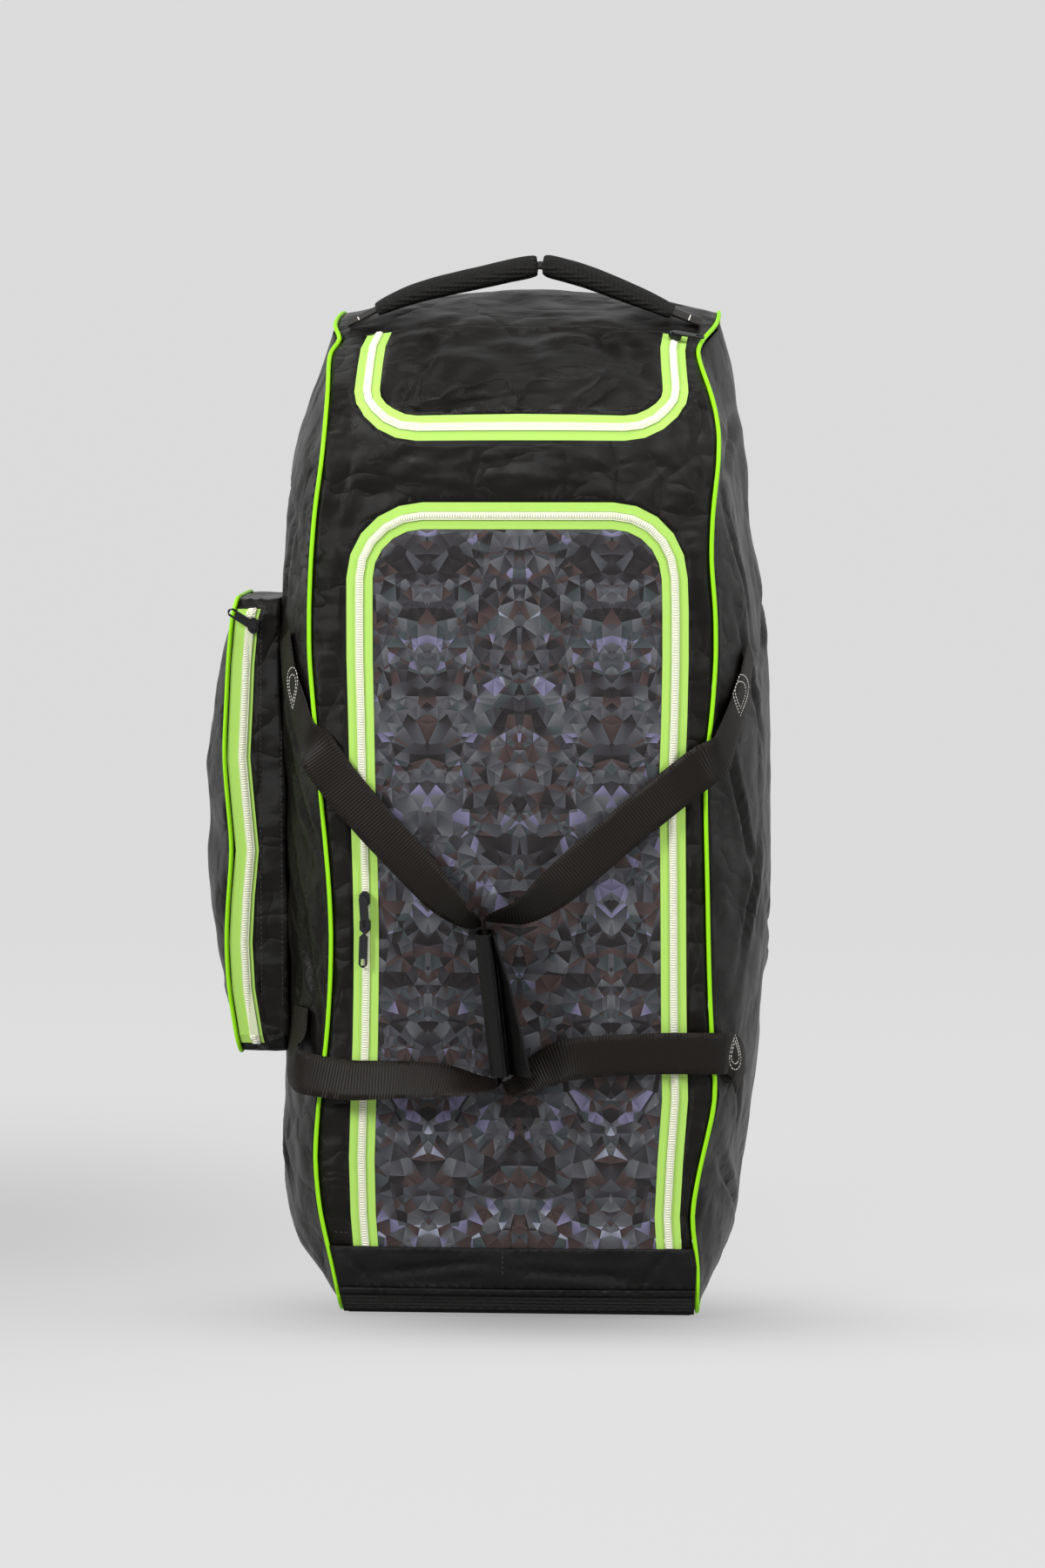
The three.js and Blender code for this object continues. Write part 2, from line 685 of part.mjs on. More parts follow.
// Line of a U-shaped zip on the flat pattern, grown by a distance. way is 1 where the U is closed at its top.
// Its points lie where the cloth's facets meet, so lines grown by different distances stay apart all along.
function zipLine({ half, closedRun, radius, way }, openRun, grow) {
  const side = half + grow;
  const start = closedRun - way * radius;
  const round = radius + grow;
  const leg = runTo.filter((run) => (run - openRun) * way > 1 && (start - run) * way > 1);
  if (way < 0) {
    leg.reverse();
  }
  const right = [openRun, ...leg, start].map((run) => [side, run]);
  for (let i = 1; i <= ARC_STOPS; i += 1) {
    const turn = (i / ARC_STOPS) * (Math.PI / 2);
    right.push([side - round * (1 - Math.cos(turn)), start + way * round * Math.sin(turn)]);
  }
  const end = closedRun + way * grow;
  for (let i = FRONT_CELLS - 1; i > FRONT_CELLS / 2; i -= 1) {
    const x = (2 * i * STRIP_HALF) / FRONT_CELLS - STRIP_HALF;
    if (x < half - radius - 1) {
      right.push([x, end]);
    }
  }
  const left = right.map(([x, run]) => [-x, run]).reverse();
  return [...right, [0, end], ...left];
}

// The pieces of one zip and the panel inside it.
const frontCloth = toSolid(layer(frontRows, -CLOTH, 0));
function zipPieces(zip, coilEnd) {
  const inner = COIL_W / 2 + GAP;
  const outer = inner + TAPE_W;
  const band = (near, far, open, low, high) => {
    const a = zipLine(zip, open, near);
    const b = zipLine(zip, open, far);
    return layer(a.map((point, i) => [onZip(...point, 0), onZip(...b[i], 0)]), low, high);
  };
  return {
    hole: cutter(zipLine(zip, zip.openRun - zip.way * GAP, outer + GAP)),
    bodyTape: band(inner, outer, zip.openRun, -CLOTH, 0),
    coil: band(-COIL_W / 2, COIL_W / 2, coilEnd, -CLOTH, COIL_H),
    flapTape: band(-outer, -inner, zip.openRun, -CLOTH, 0),
    panel: frontCloth.intersect(cutter(zipLine(zip, zip.openRun, -outer - GAP))),
  };
}
const lidZip = {
  half: LID_HALF,
  closedRun: runAtHeight(LID_TOP),
  openRun: runAtHeight(LID_FOOT),
  radius: LID_RADIUS,
  way: 1,
};
const topZip = {
  half: TOP_POCKET_HALF,
  closedRun: runAtHeight(TOP_POCKET_FOOT),
  openRun: runAtHeight(TOP_POCKET_FOOT) + TOP_POCKET_REACH,
  radius: TOP_POCKET_RADIUS,
  way: -1,
};
const lid = zipPieces(lidZip, runAtHeight(BAND_TOP) + GAP);
const topPocket = zipPieces(topZip, topZip.openRun);

// Assembly

const bag = new THREE.Group();
const materials = {};
for (const [name, colour] of Object.entries(COLOURS)) {
  materials[name] = new THREE.MeshStandardMaterial({ color: colour, roughness: 0.75, metalness: 0 });
}
materials.metal.metalness = 0.6;
materials.metal.roughness = 0.35;
materials.coil.roughness = 0.5;

function add(name, shape, material) {
  const geometry = shape.isBufferGeometry ? shape : toGeometry(mainBody(shape));
  const mesh = new THREE.Mesh(geometry, materials[material]);
  mesh.name = name;
  bag.add(mesh);
}

// Body panels
add("front_panel", frontCloth.subtract(lid.hole).subtract(topPocket.hole), "cloth");
add("lid_panel", lid.panel, "print");
add("lid_zip_body_tape", lid.bodyTape, "tape");
add("lid_zip_coil", lid.coil, "coil");
add("lid_zip_flap_tape", lid.flapTape, "tape");
add("top_pocket_panel", topPocket.panel, "cloth");
add("top_zip_body_tape", topPocket.bodyTape, "tape");
add("top_zip_coil", topPocket.coil, "coil");
add("top_zip_flap_tape", topPocket.flapTape, "tape");
add("back_panel", layer(backRows, -CLOTH, 0), "cloth");
add("base_panel", layer(baseRows, -CLOTH, 0), "cloth");
add("side_panel_left", layer(sideRows[-1], -CLOTH, 0), "cloth");
add("side_panel_right", layer(sideRows[1], -CLOTH, 0), "cloth");

// Lower band, flat mesh pocket and its bound edge, laid over the front
function frontBand(foot, top, low, high) {
  const runs = [foot, top].map(runAtHeight);
  const between = runTo.filter((run) => run > runs[0] + 1 && run < runs[1] - 1);
  const columns = stops(-STRIP_HALF, STRIP_HALF, FRONT_CELLS);
  const rows = [runs[0], ...between, runs[1]].map((run) => columns.map((x) => onFlat(x, run, 0)));
  return layer(rows, low, high);
}
add("lower_band", frontBand(BAND_FOOT + GAP, BAND_TOP, BAND_LIFT, BAND_LIFT + CLOTH), "cloth");
add("pocket_binding", frontBand(BINDING_FOOT + GAP, BAND_FOOT, BAND_LIFT, BAND_LIFT + BINDING_T), "cloth");
add("mesh_pocket", frontBand(MESH_FOOT, BINDING_FOOT, BAND_LIFT, BAND_LIFT + MESH_T), "mesh");

// Round tube through a closed loop of points that lies about upright and fore-and-aft
function hoop(points, radius, sides) {
  const count = points.length;
  const vertices = [];
  const faces = [];
  points.forEach((point, n) => {
    const into = point.clone().sub(points[(n + count - 1) % count]).normalize();
    const away = points[(n + 1) % count].clone().sub(point).normalize();
    const run = into.clone().add(away).normalize();
    const sideways = new THREE.Vector3(1, 0, 0).addScaledVector(run, -run.x).normalize();
    const across = run.clone().cross(sideways);
    const stretch = 1 / Math.max(0.6, run.dot(away));
    for (let i = 0; i < sides; i += 1) {
      const turn = (2 * Math.PI * (i + 0.5)) / sides;
      vertices.push(
        point
          .clone()
          .addScaledVector(sideways, radius * Math.cos(turn))
          .addScaledVector(across, radius * stretch * Math.sin(turn)),
      );
    }
    const next = (n + 1) % count;
    for (let i = 0; i < sides; i += 1) {
      const j = (i + 1) % sides;
      faces.push(...quad(n * sides + i, n * sides + j, next * sides + j, next * sides + i));
    }
  });
  return closed(vertices, faces);
}

// Piping along both seams of the strip, all the way round
function pipingPath(side) {
  const points = [];
  const out = new THREE.Vector3(side * PIPING_OUT, 0, 0);
  for (let k = 0; k <= RIM; k += 1) {
    points.push(frontSeam(side, k).addScaledVector(stripNormal(k), PIPING_OUT).add(out));
  }
  for (let i = 0; i <= SHOULDER; i += 1) {
    const point = backSeam(side, 1 - i / SHOULDER).add(out);
    point.y += PIPING_OUT;
    points.push(point);
  }
  for (let i = 1; i < SIDE_CELLS; i += 1) {
    points.push(backSeam(side, 0).lerp(frontSeam(side, 0), i / SIDE_CELLS).add(out));
  }
  const rim = points[RIM + 1];
  rim.z = points[RIM].z;
  points.splice(RIM, 1);
  for (const point of points) {
    point.z = Math.max(point.z, PIPING_D / 2 + GAP);
  }
  return points;
}
add("piping_left", hoop(pipingPath(-1), PIPING_D / 2, PIPING_SIDES), "lime");
add("piping_right", hoop(pipingPath(1), PIPING_D / 2, PIPING_SIDES), "lime");

// Side pocket: gusset, its zip, piping and outer panel
const POCKET_EDGE_STOPS = 9;
const POCKET_END_STOPS = 3;
const POCKET_ARC_STOPS = 3;
function pocketLoop(inset) {
  const corners = [
    [POCKET_FRONT, POCKET_FOOT, 1, 1, Math.PI, 1.5 * Math.PI],
    [POCKET_BACK, POCKET_FOOT, -1, 1, 1.5 * Math.PI, 2 * Math.PI],
    [POCKET_BACK, POCKET_TOP, -1, -1, 0, 0.5 * Math.PI],
    [POCKET_FRONT, POCKET_TOP, 1, -1, 0.5 * Math.PI, Math.PI],
  ];
  const arcs = corners.map(([y, z, inY, inZ, from, to]) => {
    const radius = POCKET_RADIUS - inset;
    const middle = [y + inY * POCKET_RADIUS, z + inZ * POCKET_RADIUS];
    const list = [];
    for (let i = 0; i <= POCKET_ARC_STOPS; i += 1) {
      const turn = mix(from, to, i / POCKET_ARC_STOPS);
      const normal = new THREE.Vector3(0, Math.cos(turn), Math.sin(turn));
      list.push({ y: middle[0] + radius * normal.y, z: middle[1] + radius * normal.z, normal });
    }
    return list;
  });
  const loop = [];
  arcs.forEach((arc, n) => {
    loop.push(...arc);
    const from = arc[arc.length - 1];
    const to = arcs[(n + 1) % 4][0];
    const count = n % 2 ? POCKET_EDGE_STOPS : POCKET_END_STOPS;
    for (let i = 1; i < count; i += 1) {
      loop.push({ y: mix(from.y, to.y, i / count), z: mix(from.z, to.z, i / count), normal: from.normal });
    }
  });
  return loop;
}
function pocketEdge({ y, z }) {
  const forward = THREE.MathUtils.clamp((POCKET_BACK - y) / (POCKET_BACK - POCKET_FRONT), 0, 1);
  const height = (z - POCKET_FOOT) / (POCKET_TOP - POCKET_FOOT);
  return -POCKET_REACH - POCKET_BULGE * lookUp(POCKET_WAVE, "height", height, "reach") * forward;
}
const gussetInset = PIPING_D / 4;
const gussetStart = CLOTH + 2 * GAP; // from the piping's centre towards the bag
const tapeEnd = gussetStart + POCKET_TAPE_W;
const coilStop = tapeEnd + GAP + POCKET_ZIP_W;
const lipEnd = coilStop + GAP + POCKET_LIP_W;
const gussetRing = (inset, x) => pocketLoop(inset).map((p) => new THREE.Vector3(x(p), p.y, p.z));
const gussetRings = (inset) => [
  gussetRing(inset, () => -STRIP_HALF),
  gussetRing(inset, (p) => pocketEdge(p) + gussetStart),
];
const wallLoop = pocketLoop(gussetInset);
const zipStops = wallLoop.length - POCKET_EDGE_STOPS;
const zipRun = [...wallLoop.slice(zipStops - 1), ...wallLoop.slice(0, 2)];
const wallBand = (from, to) =>
  zipRun.map((p) =>
    [from, to].map((x) => ({ at: new THREE.Vector3(pocketEdge(p) + x, p.y, p.z), normal: p.normal })),
  );

// Everything a side panel fills, from just over its cloth inwards
function sideBlock(side) {
  const rows = sideRows[side];
  const sideways = new THREE.Vector3(side, 0, 0);
  const cover = rows.map((row) =>
    row.map(({ at, normal }) => ({ at: at.clone().addScaledVector(normal, GAP), normal: sideways })),
  );
  return toSolid(layer(cover, -STRIP_HALF / 2, 0));
}
const sideBlocks = { [-1]: sideBlock(-1), [1]: sideBlock(1) };

const gusset = toSolid(sleeve(gussetRings(gussetInset), gussetRings(gussetInset + CLOTH)))
  .subtract(sideBlocks[-1])
  .subtract(toSolid(layer(wallBand(-POCKET_TAPE_W, lipEnd + GAP), -2 * CLOTH, CLOTH)));
add("side_pocket_gusset", gusset, "cloth");
const insideEnds = (rows) => {
  for (const [end, next] of [rows.slice(0, 2), rows.slice(-2).reverse()]) {
    end.forEach(({ at }, i) => at.lerp(next[i].at, POCKET_ZIP_SLIT / at.distanceTo(next[i].at)));
  }
  return rows;
};
add("side_zip_tape", layer(insideEnds(wallBand(gussetStart, tapeEnd)), -CLOTH, 0), "tape");
add("side_zip_coil", layer(insideEnds(wallBand(tapeEnd + GAP, coilStop)), -CLOTH, COIL_H), "coil");
add("side_zip_lip", layer(insideEnds(wallBand(coilStop + GAP, lipEnd)), -CLOTH, 0), "tape");
add(
  "side_pocket_piping",
  hoop(gussetRing(0, pocketEdge), PIPING_D / 2, PIPING_SIDES),
  "lime",
);

// Panel that closes the pocket's outer side, puffed out from its piping
function pocketPanel() {
  const rim = pocketLoop(PIPING_D / 2 + 2 * GAP);
  const middle = { y: (POCKET_FRONT + POCKET_BACK) / 2, z: (POCKET_FOOT + POCKET_TOP) / 2 };
  const shares = [1, 0.9, 0.72, 0.5, 0.28];
  const count = rim.length;
  const points = [];
  for (const depth of [0, CLOTH]) {
    for (const share of shares) {
      for (const p of rim) {
        const x = mix(-POCKET_REACH, pocketEdge(p), share) - POCKET_BULGE * hump(share, 2.2) + depth;
        points.push(new THREE.Vector3(x, mix(middle.y, p.y, share), mix(middle.z, p.z, share)));
      }
    }
    points.push(new THREE.Vector3(-POCKET_REACH - POCKET_BULGE + depth, middle.y, middle.z));
  }
  const half = points.length / 2;
  const faces = [];
  for (let i = 0; i < count; i += 1) {
    const next = (i + 1) % count;
    for (let r = 0; r + 1 < shares.length; r += 1) {
      const ring = [r * count + i, r * count + next, (r + 1) * count + next, (r + 1) * count + i];
      faces.push(...quad(...ring));
      faces.push(...quad(...ring.map((n) => n + half).reverse()));
    }
    const last = (shares.length - 1) * count;
    faces.push([last + i, last + next, half - 1]);
    faces.push([half + last + next, half + last + i, 2 * half - 1]);
    faces.push(...quad(next, i, half + i, half + next));
  }
  return closed(points, faces);
}
add("side_pocket_panel", pocketPanel(), "cloth");

// Place over a side panel from shares of the body's depth and height
function onSide(side, depth, height, lift) {
  const u = depth + 0.5;
  const z = height * BODY_HEIGHT;
  const atFront = places(seam.map((row) => row.z), z) / SHOULDER;
  const atBack = (z - SEAM_RISE) / (seam[RIM].z - SEAM_RISE);
  return over(sideRows[side], mix(atFront, atBack, u) * SHOULDER, u * SIDE_CELLS, lift);
}

// Centre of the grip at a share of its height
const gripRun = (share) => runAtHeight(mix(GRIP_FOOT, GRIP_TOP, share));
function gripCentre(share) {
  const x = GRIP_X + GRIP_LEAN * (0.5 - share);
  const cloth = onFlat(x, gripRun(share), 0).at;
  return new THREE.Vector3(x, cloth.y - GRIP_OUT - GRIP_D / 2, mix(GRIP_FOOT, GRIP_TOP, share));
}

// Webbing strap through the rows of its table
function strap(rows) {
  const nodes = rows.map(({ on, across, height, lift }) => {
    if (on === "front") {
      return onFlat(across * STRIP_HALF, runAtHeight(height * BODY_HEIGHT), lift * WEBBING);
    }
    if (on === "grip") {
      const at = gripCentre(height);
      at.x += across * (WEBBING_T / 2 + GAP);
      return { at, normal: new THREE.Vector3(0, -1, 0) };
    }
    return onSide(on === "left" ? -1 : 1, across, height, lift * WEBBING);
  });
  const rings = nodes.map(({ at, normal }, i) => {
    const before = nodes[Math.max(0, i - 1)].at;
    const after = nodes[Math.min(nodes.length - 1, i + 1)].at;
    const run = after.clone().sub(before).normalize();
    const across = run.clone().cross(normal).normalize();
    across.applyAxisAngle(run, THREE.MathUtils.degToRad(rows[i].turn));
    const up = across.clone().cross(run).normalize();
    const corner = (w, t) =>
      at
        .clone()
        .addScaledVector(across, (w * WEBBING) / 2)
        .addScaledVector(up, (t * WEBBING_T) / 2);
    return [corner(-1, -1), corner(1, -1), corner(1, 1), corner(-1, 1)];
  });
  return toSolid(loft(rings));
}
const clearOfBody = (solid, side) =>
  solid.subtract(sideBlocks[side]).subtract(toSolid(layer(frontRows, -CLOTH, GAP)));
add("carry_strap_left", clearOfBody(strap(LEFT_STRAP), -1), "webbing");
add("carry_strap_right", clearOfBody(strap(RIGHT_STRAP), 1), "webbing");

// Grip: a sleeve closed round both straps, and its loose flap
const GRIP_SIDES = 12;
function gripRing(share, inset) {
  const centre = gripCentre(share);
  const ring = [];
  for (let i = 0; i < GRIP_SIDES; i += 1) {
    const turn = (2 * Math.PI * (i + 0.5)) / GRIP_SIDES;
    const round = (value) => Math.sign(value) * Math.abs(value) ** 0.6;
    const x = (GRIP_W / 2 - inset) * round(Math.cos(turn));
    const y = (GRIP_D / 2 - inset) * round(Math.sin(turn));
    ring.push(centre.clone().add(new THREE.Vector3(x, y, 0)));
  }
  return ring;
}
const gripShares = [0, 0.33, 0.66, 1];
add(
  "grip_wrap",
  sleeve(
    gripShares.map((share) => gripRing(share, 0)),
    gripShares.map((share) => gripRing(share, GRIP_WALL)),
  ),
  "cloth",
);
const flapRows = gripShares.map((share) =>
  [0, 0.3, 0.65, 1].map((s) => {
    const centre = gripCentre(share);
    const flare = FLAP_FLARE * (1 - share) ** 0.7 * s ** 1.3;
    const x = GRIP_W / 2 + GAP + flare;
    const y = mix(-0.06, -0.5, s) * GRIP_D;
    return { at: centre.add(new THREE.Vector3(x, y, 0)), normal: new THREE.Vector3(1, 0, 0) };
  }),
);
add("grip_flap", layer(flapRows, 0, FLAP_T), "cloth");

// Grab handle: webbing from corner to corner of the top end, inside two padded sleeves
const handleSection = places(seam.map((row) => row.y), HANDLE_PLACE);
const handleRun = mix(runTo[Math.floor(handleSection)], runTo[Math.ceil(handleSection)], handleSection % 1);
const handleRoot = (side) => onFlat(side * STRIP_HALF * HANDLE_ROOT, handleRun, HANDLE_WEB_T);
const handleEnds = [handleRoot(-1).at, handleRoot(1).at];
function handleAt(span) {
  const at = handleEnds[0].clone().lerp(handleEnds[1], span);
  at.z += HANDLE_RISE * lookUp(HANDLE_LINE, "span", span, "rise");
  return at;
}
const handleSlope = seamAt(handleSection).normal;
const handleDepth = new THREE.Vector3(0, handleSlope.z, -handleSlope.y);
function handleRing(span, width, thick, sides, squareness) {
  const run = handleAt(Math.min(1, span + 0.02)).sub(handleAt(Math.max(0, span - 0.02))).normalize();
  const depth = handleDepth.clone().addScaledVector(run, -handleDepth.dot(run)).normalize();
  const up = run.clone().cross(depth).negate();
  const soften = (value) => Math.sign(value) * Math.abs(value) ** squareness;
  const ring = [];
  for (let i = 0; i < sides; i += 1) {
    const turn = (2 * Math.PI * (i + 0.5)) / sides;
    const out = (width / 2) * soften(Math.cos(turn));
    const rise = (thick / 2) * soften(Math.sin(turn));
    ring.push(handleAt(span).addScaledVector(depth, out).addScaledVector(up, rise));
  }
  return ring;
}
const handleSpans = [0, 0.04, 0.1, 0.18, 0.27, 0.36, 0.45, 0.545, 0.64, 0.73, 0.82, 0.9, 0.96, 1];
const handleWebbing = handleSpans.map((span) => handleRing(span, HANDLE_WEB_W, HANDLE_WEB_T, 4, 0));
add("handle_webbing", loft(handleWebbing), "webbing");
function handlePad(from, to) {
  const spans = stops(from, to, 6);
  const thick = (span) => HANDLE_PAD_T * lookUp(HANDLE_LINE, "span", span, "pad");
  return sleeve(
    spans.map((span) => handleRing(span, HANDLE_PAD_W, thick(span), 10, 0.8)),
    spans.map((span) => handleRing(span, HANDLE_WEB_W + 2 * HANDLE_SLACK, HANDLE_WEB_T + 2 * HANDLE_SLACK, 10, 0.25)),
  );
}
const notch = HANDLE_NOTCH / (2 * STRIP_HALF);
add("handle_pad_left", handlePad(PAD_END, HANDLE_MIDDLE - notch), "cloth");
add("handle_pad_right", handlePad(HANDLE_MIDDLE + notch, 1 - PAD_END), "cloth");

// Zip sliders and pulls
function plate(width, length, thick, hole) {
  const corner = Math.min(width, length) * 0.35;
  const shape = new THREE.Shape();
  const w = width / 2;
  const l = length / 2;
  shape.moveTo(-w + corner, -l);
  shape.lineTo(w - corner, -l);
  shape.lineTo(w, -l + corner);
  shape.lineTo(w, l - corner);
  shape.lineTo(w - corner, l);
  shape.lineTo(-w + corner, l);
  shape.lineTo(-w, l - corner);
  shape.lineTo(-w, -l + corner);
  shape.closePath();
  if (hole) {
    const inner = w - PULL_BAR;
    const open = new THREE.Path();
    open.moveTo(-inner, -l + PULL_BAR);
    open.lineTo(-inner, -l + PULL_BAR + 3 * inner);
    open.lineTo(inner, -l + PULL_BAR + 3 * inner);
    open.lineTo(inner, -l + PULL_BAR);
    open.closePath();
    shape.holes.push(open);
  }
  return new THREE.ExtrudeGeometry(shape, { depth: thick, bevelEnabled: false });
}
function placed(geometry, { at, normal }, up, turn, slide = 0) {
  const z = normal.clone();
  const y = up.clone().addScaledVector(z, -up.dot(z)).normalize().applyAxisAngle(z, THREE.MathUtils.degToRad(turn));
  const x = y.clone().cross(z);
  const basis = new THREE.Matrix4().makeBasis(x, y, z);
  basis.setPosition(at.clone().addScaledVector(y, slide));
  geometry.applyMatrix4(basis);
  geometry.deleteAttribute("normal");
  geometry.deleteAttribute("uv");
  return mergeVertices(geometry, 1e-4);
}
const upwards = new THREE.Vector3(0, 0, 1);
const sliderLow = COIL_H + 3 * GAP;
const pullLow = sliderLow + SLIDER_H + GAP;
const slider = () => plate(SLIDER_W, SLIDER_L, SLIDER_H, false);
const pull = () => plate(PULL_W, PULL_L, PULL_T, true);
const hang = -PULL_L / 2 + SLIDER_L / 4;
const lidSliders = [
  ["upper", LID_SLIDER_HEIGHT, 4],
  ["lower", LID_SLIDER_HEIGHT - SLIDER_PITCH, -2],
];
for (const [name, height, turn] of lidSliders) {
  const run = runAtHeight(height);
  const reach = name === "upper" ? pullLow : sliderLow + SLIDER_H / 2;
  const drop = name === "upper" ? hang : -(SLIDER_L + PULL_L) / 2 - GAP;
  add(`lid_slider_${name}`, placed(slider(), onZip(-LID_HALF, run, sliderLow), upwards, 0), "metal");
  add(`lid_pull_${name}`, placed(pull(), onZip(-LID_HALF - 1, run, reach), upwards, turn, drop), "metal");
}
const topRun = topZip.openRun - SLIDER_L;
add("top_slider", placed(slider(), onZip(TOP_POCKET_HALF, topRun, sliderLow), upwards, 0), "metal");
add("top_pull", placed(pull(), onZip(TOP_POCKET_HALF, topRun, pullLow), upwards, TOP_PULL_TURN, hang), "metal");
const topOfWall = zipRun.findLast((p) => p.z < POCKET_TOP - POCKET_RADIUS - 1) ?? zipRun[2];
const sidePlace = (height) => ({
  at: new THREE.Vector3(
    pocketEdge(topOfWall) + (tapeEnd + coilStop) / 2,
    POCKET_FRONT + gussetInset - height,
    POCKET_TOP - POCKET_RADIUS - SLIDER_L / 2,
  ),
  normal: new THREE.Vector3(0, -1, 0),
});
add("side_slider", placed(slider(), sidePlace(sliderLow), upwards, 0), "metal");
add("side_pull", placed(pull(), sidePlace(pullLow), upwards, SIDE_PULL_TURN, hang), "metal");

export default bag;
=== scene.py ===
import json
import math
from functools import partial

import bmesh
import bpy
import numpy as np
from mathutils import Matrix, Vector, noise
from mathutils.bvhtree import BVHTree
from mathutils.kdtree import KDTree


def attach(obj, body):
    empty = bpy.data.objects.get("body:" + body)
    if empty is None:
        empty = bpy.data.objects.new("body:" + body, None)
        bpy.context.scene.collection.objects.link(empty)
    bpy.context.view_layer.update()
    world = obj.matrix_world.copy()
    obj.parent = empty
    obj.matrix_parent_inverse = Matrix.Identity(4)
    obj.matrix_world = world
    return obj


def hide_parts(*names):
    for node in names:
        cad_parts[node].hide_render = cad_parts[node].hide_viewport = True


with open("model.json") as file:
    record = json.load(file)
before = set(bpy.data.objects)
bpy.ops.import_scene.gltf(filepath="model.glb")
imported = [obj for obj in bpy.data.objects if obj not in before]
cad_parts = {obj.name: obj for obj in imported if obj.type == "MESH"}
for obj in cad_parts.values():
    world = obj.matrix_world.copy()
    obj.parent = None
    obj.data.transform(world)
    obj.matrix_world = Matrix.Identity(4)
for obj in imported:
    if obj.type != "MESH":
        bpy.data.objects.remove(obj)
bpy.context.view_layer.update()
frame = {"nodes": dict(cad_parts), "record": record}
MM = 0.001

# Camera, as the photograph was taken. Pixels are those of the photograph, 1200 by 1800.
AZIMUTH = math.radians(3.0)
ELEVATION = math.radians(5.0)
DISTANCE = 3.65
FOCAL_PX = 4615.0
AIM = Vector((0.0, -0.165, 0.492))
MIDDLE = (597.0, 900.0)
LOOK = Vector(
    (
        -math.sin(AZIMUTH) * math.cos(ELEVATION),
        math.cos(AZIMUTH) * math.cos(ELEVATION),
        -math.sin(ELEVATION),
    )
)
RIGHT = Vector((math.cos(AZIMUTH), math.sin(AZIMUTH), 0.0))
UP = RIGHT.cross(LOOK)
EYE = AIM - DISTANCE * LOOK

camera_data = bpy.data.cameras.new("camera")
camera_data.lens = 36.0 * FOCAL_PX / 1800.0
camera_data.sensor_width = 36.0
camera_data.clip_end = 50.0
camera_data.shift_x = -(MIDDLE[0] - 600.0) / 1800.0
camera = bpy.data.objects.new("camera", camera_data)
bpy.context.scene.collection.objects.link(camera)
camera.location = EYE
camera.rotation_euler = LOOK.to_track_quat("-Z", "Y").to_euler()
bpy.context.scene.camera = camera


def pixel_ray(px, py):
    """Direction from the camera through a pixel of the photograph."""
    return (LOOK + RIGHT * ((px - MIDDLE[0]) / FOCAL_PX) + UP * ((MIDDLE[1] - py) / FOCAL_PX)).normalized()


# Materials
def material(name, colour, roughness, metallic=0.0, sheen=0.0, specular=0.5):
    made = bpy.data.materials.new(name)
    made.use_nodes = True
    shader = made.node_tree.nodes["Principled BSDF"]
    shader.inputs["Base Color"].default_value = (*colour, 1.0)
    shader.inputs["Roughness"].default_value = roughness
    shader.inputs["Metallic"].default_value = metallic
    shader.inputs["Sheen Weight"].default_value = sheen
    shader.inputs["Specular IOR Level"].default_value = specular
    made.diffuse_color = (*colour, 1.0)
    return made


def graph(made):
    nodes = made.node_tree.nodes
    links = made.node_tree.links
    place = nodes.new("ShaderNodeTexCoord").outputs["Object"]
    return nodes, links, place, nodes["Principled BSDF"]


def math_node(nodes, links, operation, *values):
    node = nodes.new("ShaderNodeMath")
    node.operation = operation
    for i, value in enumerate(values):
        if isinstance(value, (int, float)):
            node.inputs[i].default_value = value
        else:
            links.new(value, node.inputs[i])
    return node.outputs[0]


def add_bump(made, height, distance, strength=1.0):
    nodes, links = made.node_tree.nodes, made.node_tree.links
    shader = nodes["Principled BSDF"]
    bump = nodes.new("ShaderNodeBump")
    bump.inputs["Strength"].default_value = strength
    bump.inputs["Distance"].default_value = distance
    links.new(height, bump.inputs["Height"])
    before = [link.from_socket for link in links if link.to_socket == shader.inputs["Normal"]]
    if before:
        links.new(before[0], bump.inputs["Normal"])
    links.new(bump.outputs["Normal"], shader.inputs["Normal"])


def noise_height(made, scale, detail=3.0, stretch=(1.0, 1.0, 1.0)):
    nodes, links, place, _ = graph(made)
    mapping = nodes.new("ShaderNodeMapping")
    mapping.inputs["Scale"].default_value = stretch
    links.new(place, mapping.inputs["Vector"])
    texture = nodes.new("ShaderNodeTexNoise")
    texture.inputs["Scale"].default_value = scale
    texture.inputs["Detail"].default_value = detail
    links.new(mapping.outputs["Vector"], texture.inputs["Vector"])
    return texture.outputs["Fac"]


def weave_height(made, pitch):
    """Crossed threads, from two sine waves across the face."""
    nodes, links, place, _ = graph(made)
    split = nodes.new("ShaderNodeSeparateXYZ")
    links.new(place, split.inputs[0])
    sums = partial(math_node, nodes, links)
    turns = 2 * math.pi / pitch
    sideways = sums("ADD", split.outputs["X"], split.outputs["Y"])
    along = sums("SINE", sums("MULTIPLY", sideways, turns))
    upward = sums("SINE", sums("MULTIPLY", split.outputs["Z"], turns))
    return sums("MULTIPLY", along, upward)


def cloth_material(name, colour, roughness=0.62, crinkle=1.0, pitch=1.6 * MM):
    made = material(name, colour, roughness, specular=0.17)
    nodes, links = made.node_tree.nodes, made.node_tree.links
    waves = noise_height(made, 9.0, 2.0, (1.0, 1.0, 0.8))
    add_bump(made, waves, 34 * MM, 0.5 * crinkle)
    for scale, stretch, distance in ((7.0, (1.4, 1.0, 0.8), 26 * MM), (16.0, (0.8, 1.0, 1.5), 11 * MM)):
        cloud = noise_height(made, scale, 2.5, stretch)
        crease = math_node(nodes, links, "ABSOLUTE", math_node(nodes, links, "SUBTRACT", cloud, 0.5))
        add_bump(made, math_node(nodes, links, "POWER", crease, 0.8), distance, 0.6 * crinkle)
    add_bump(made, weave_height(made, pitch), 0.25 * MM, 0.5)
    return made


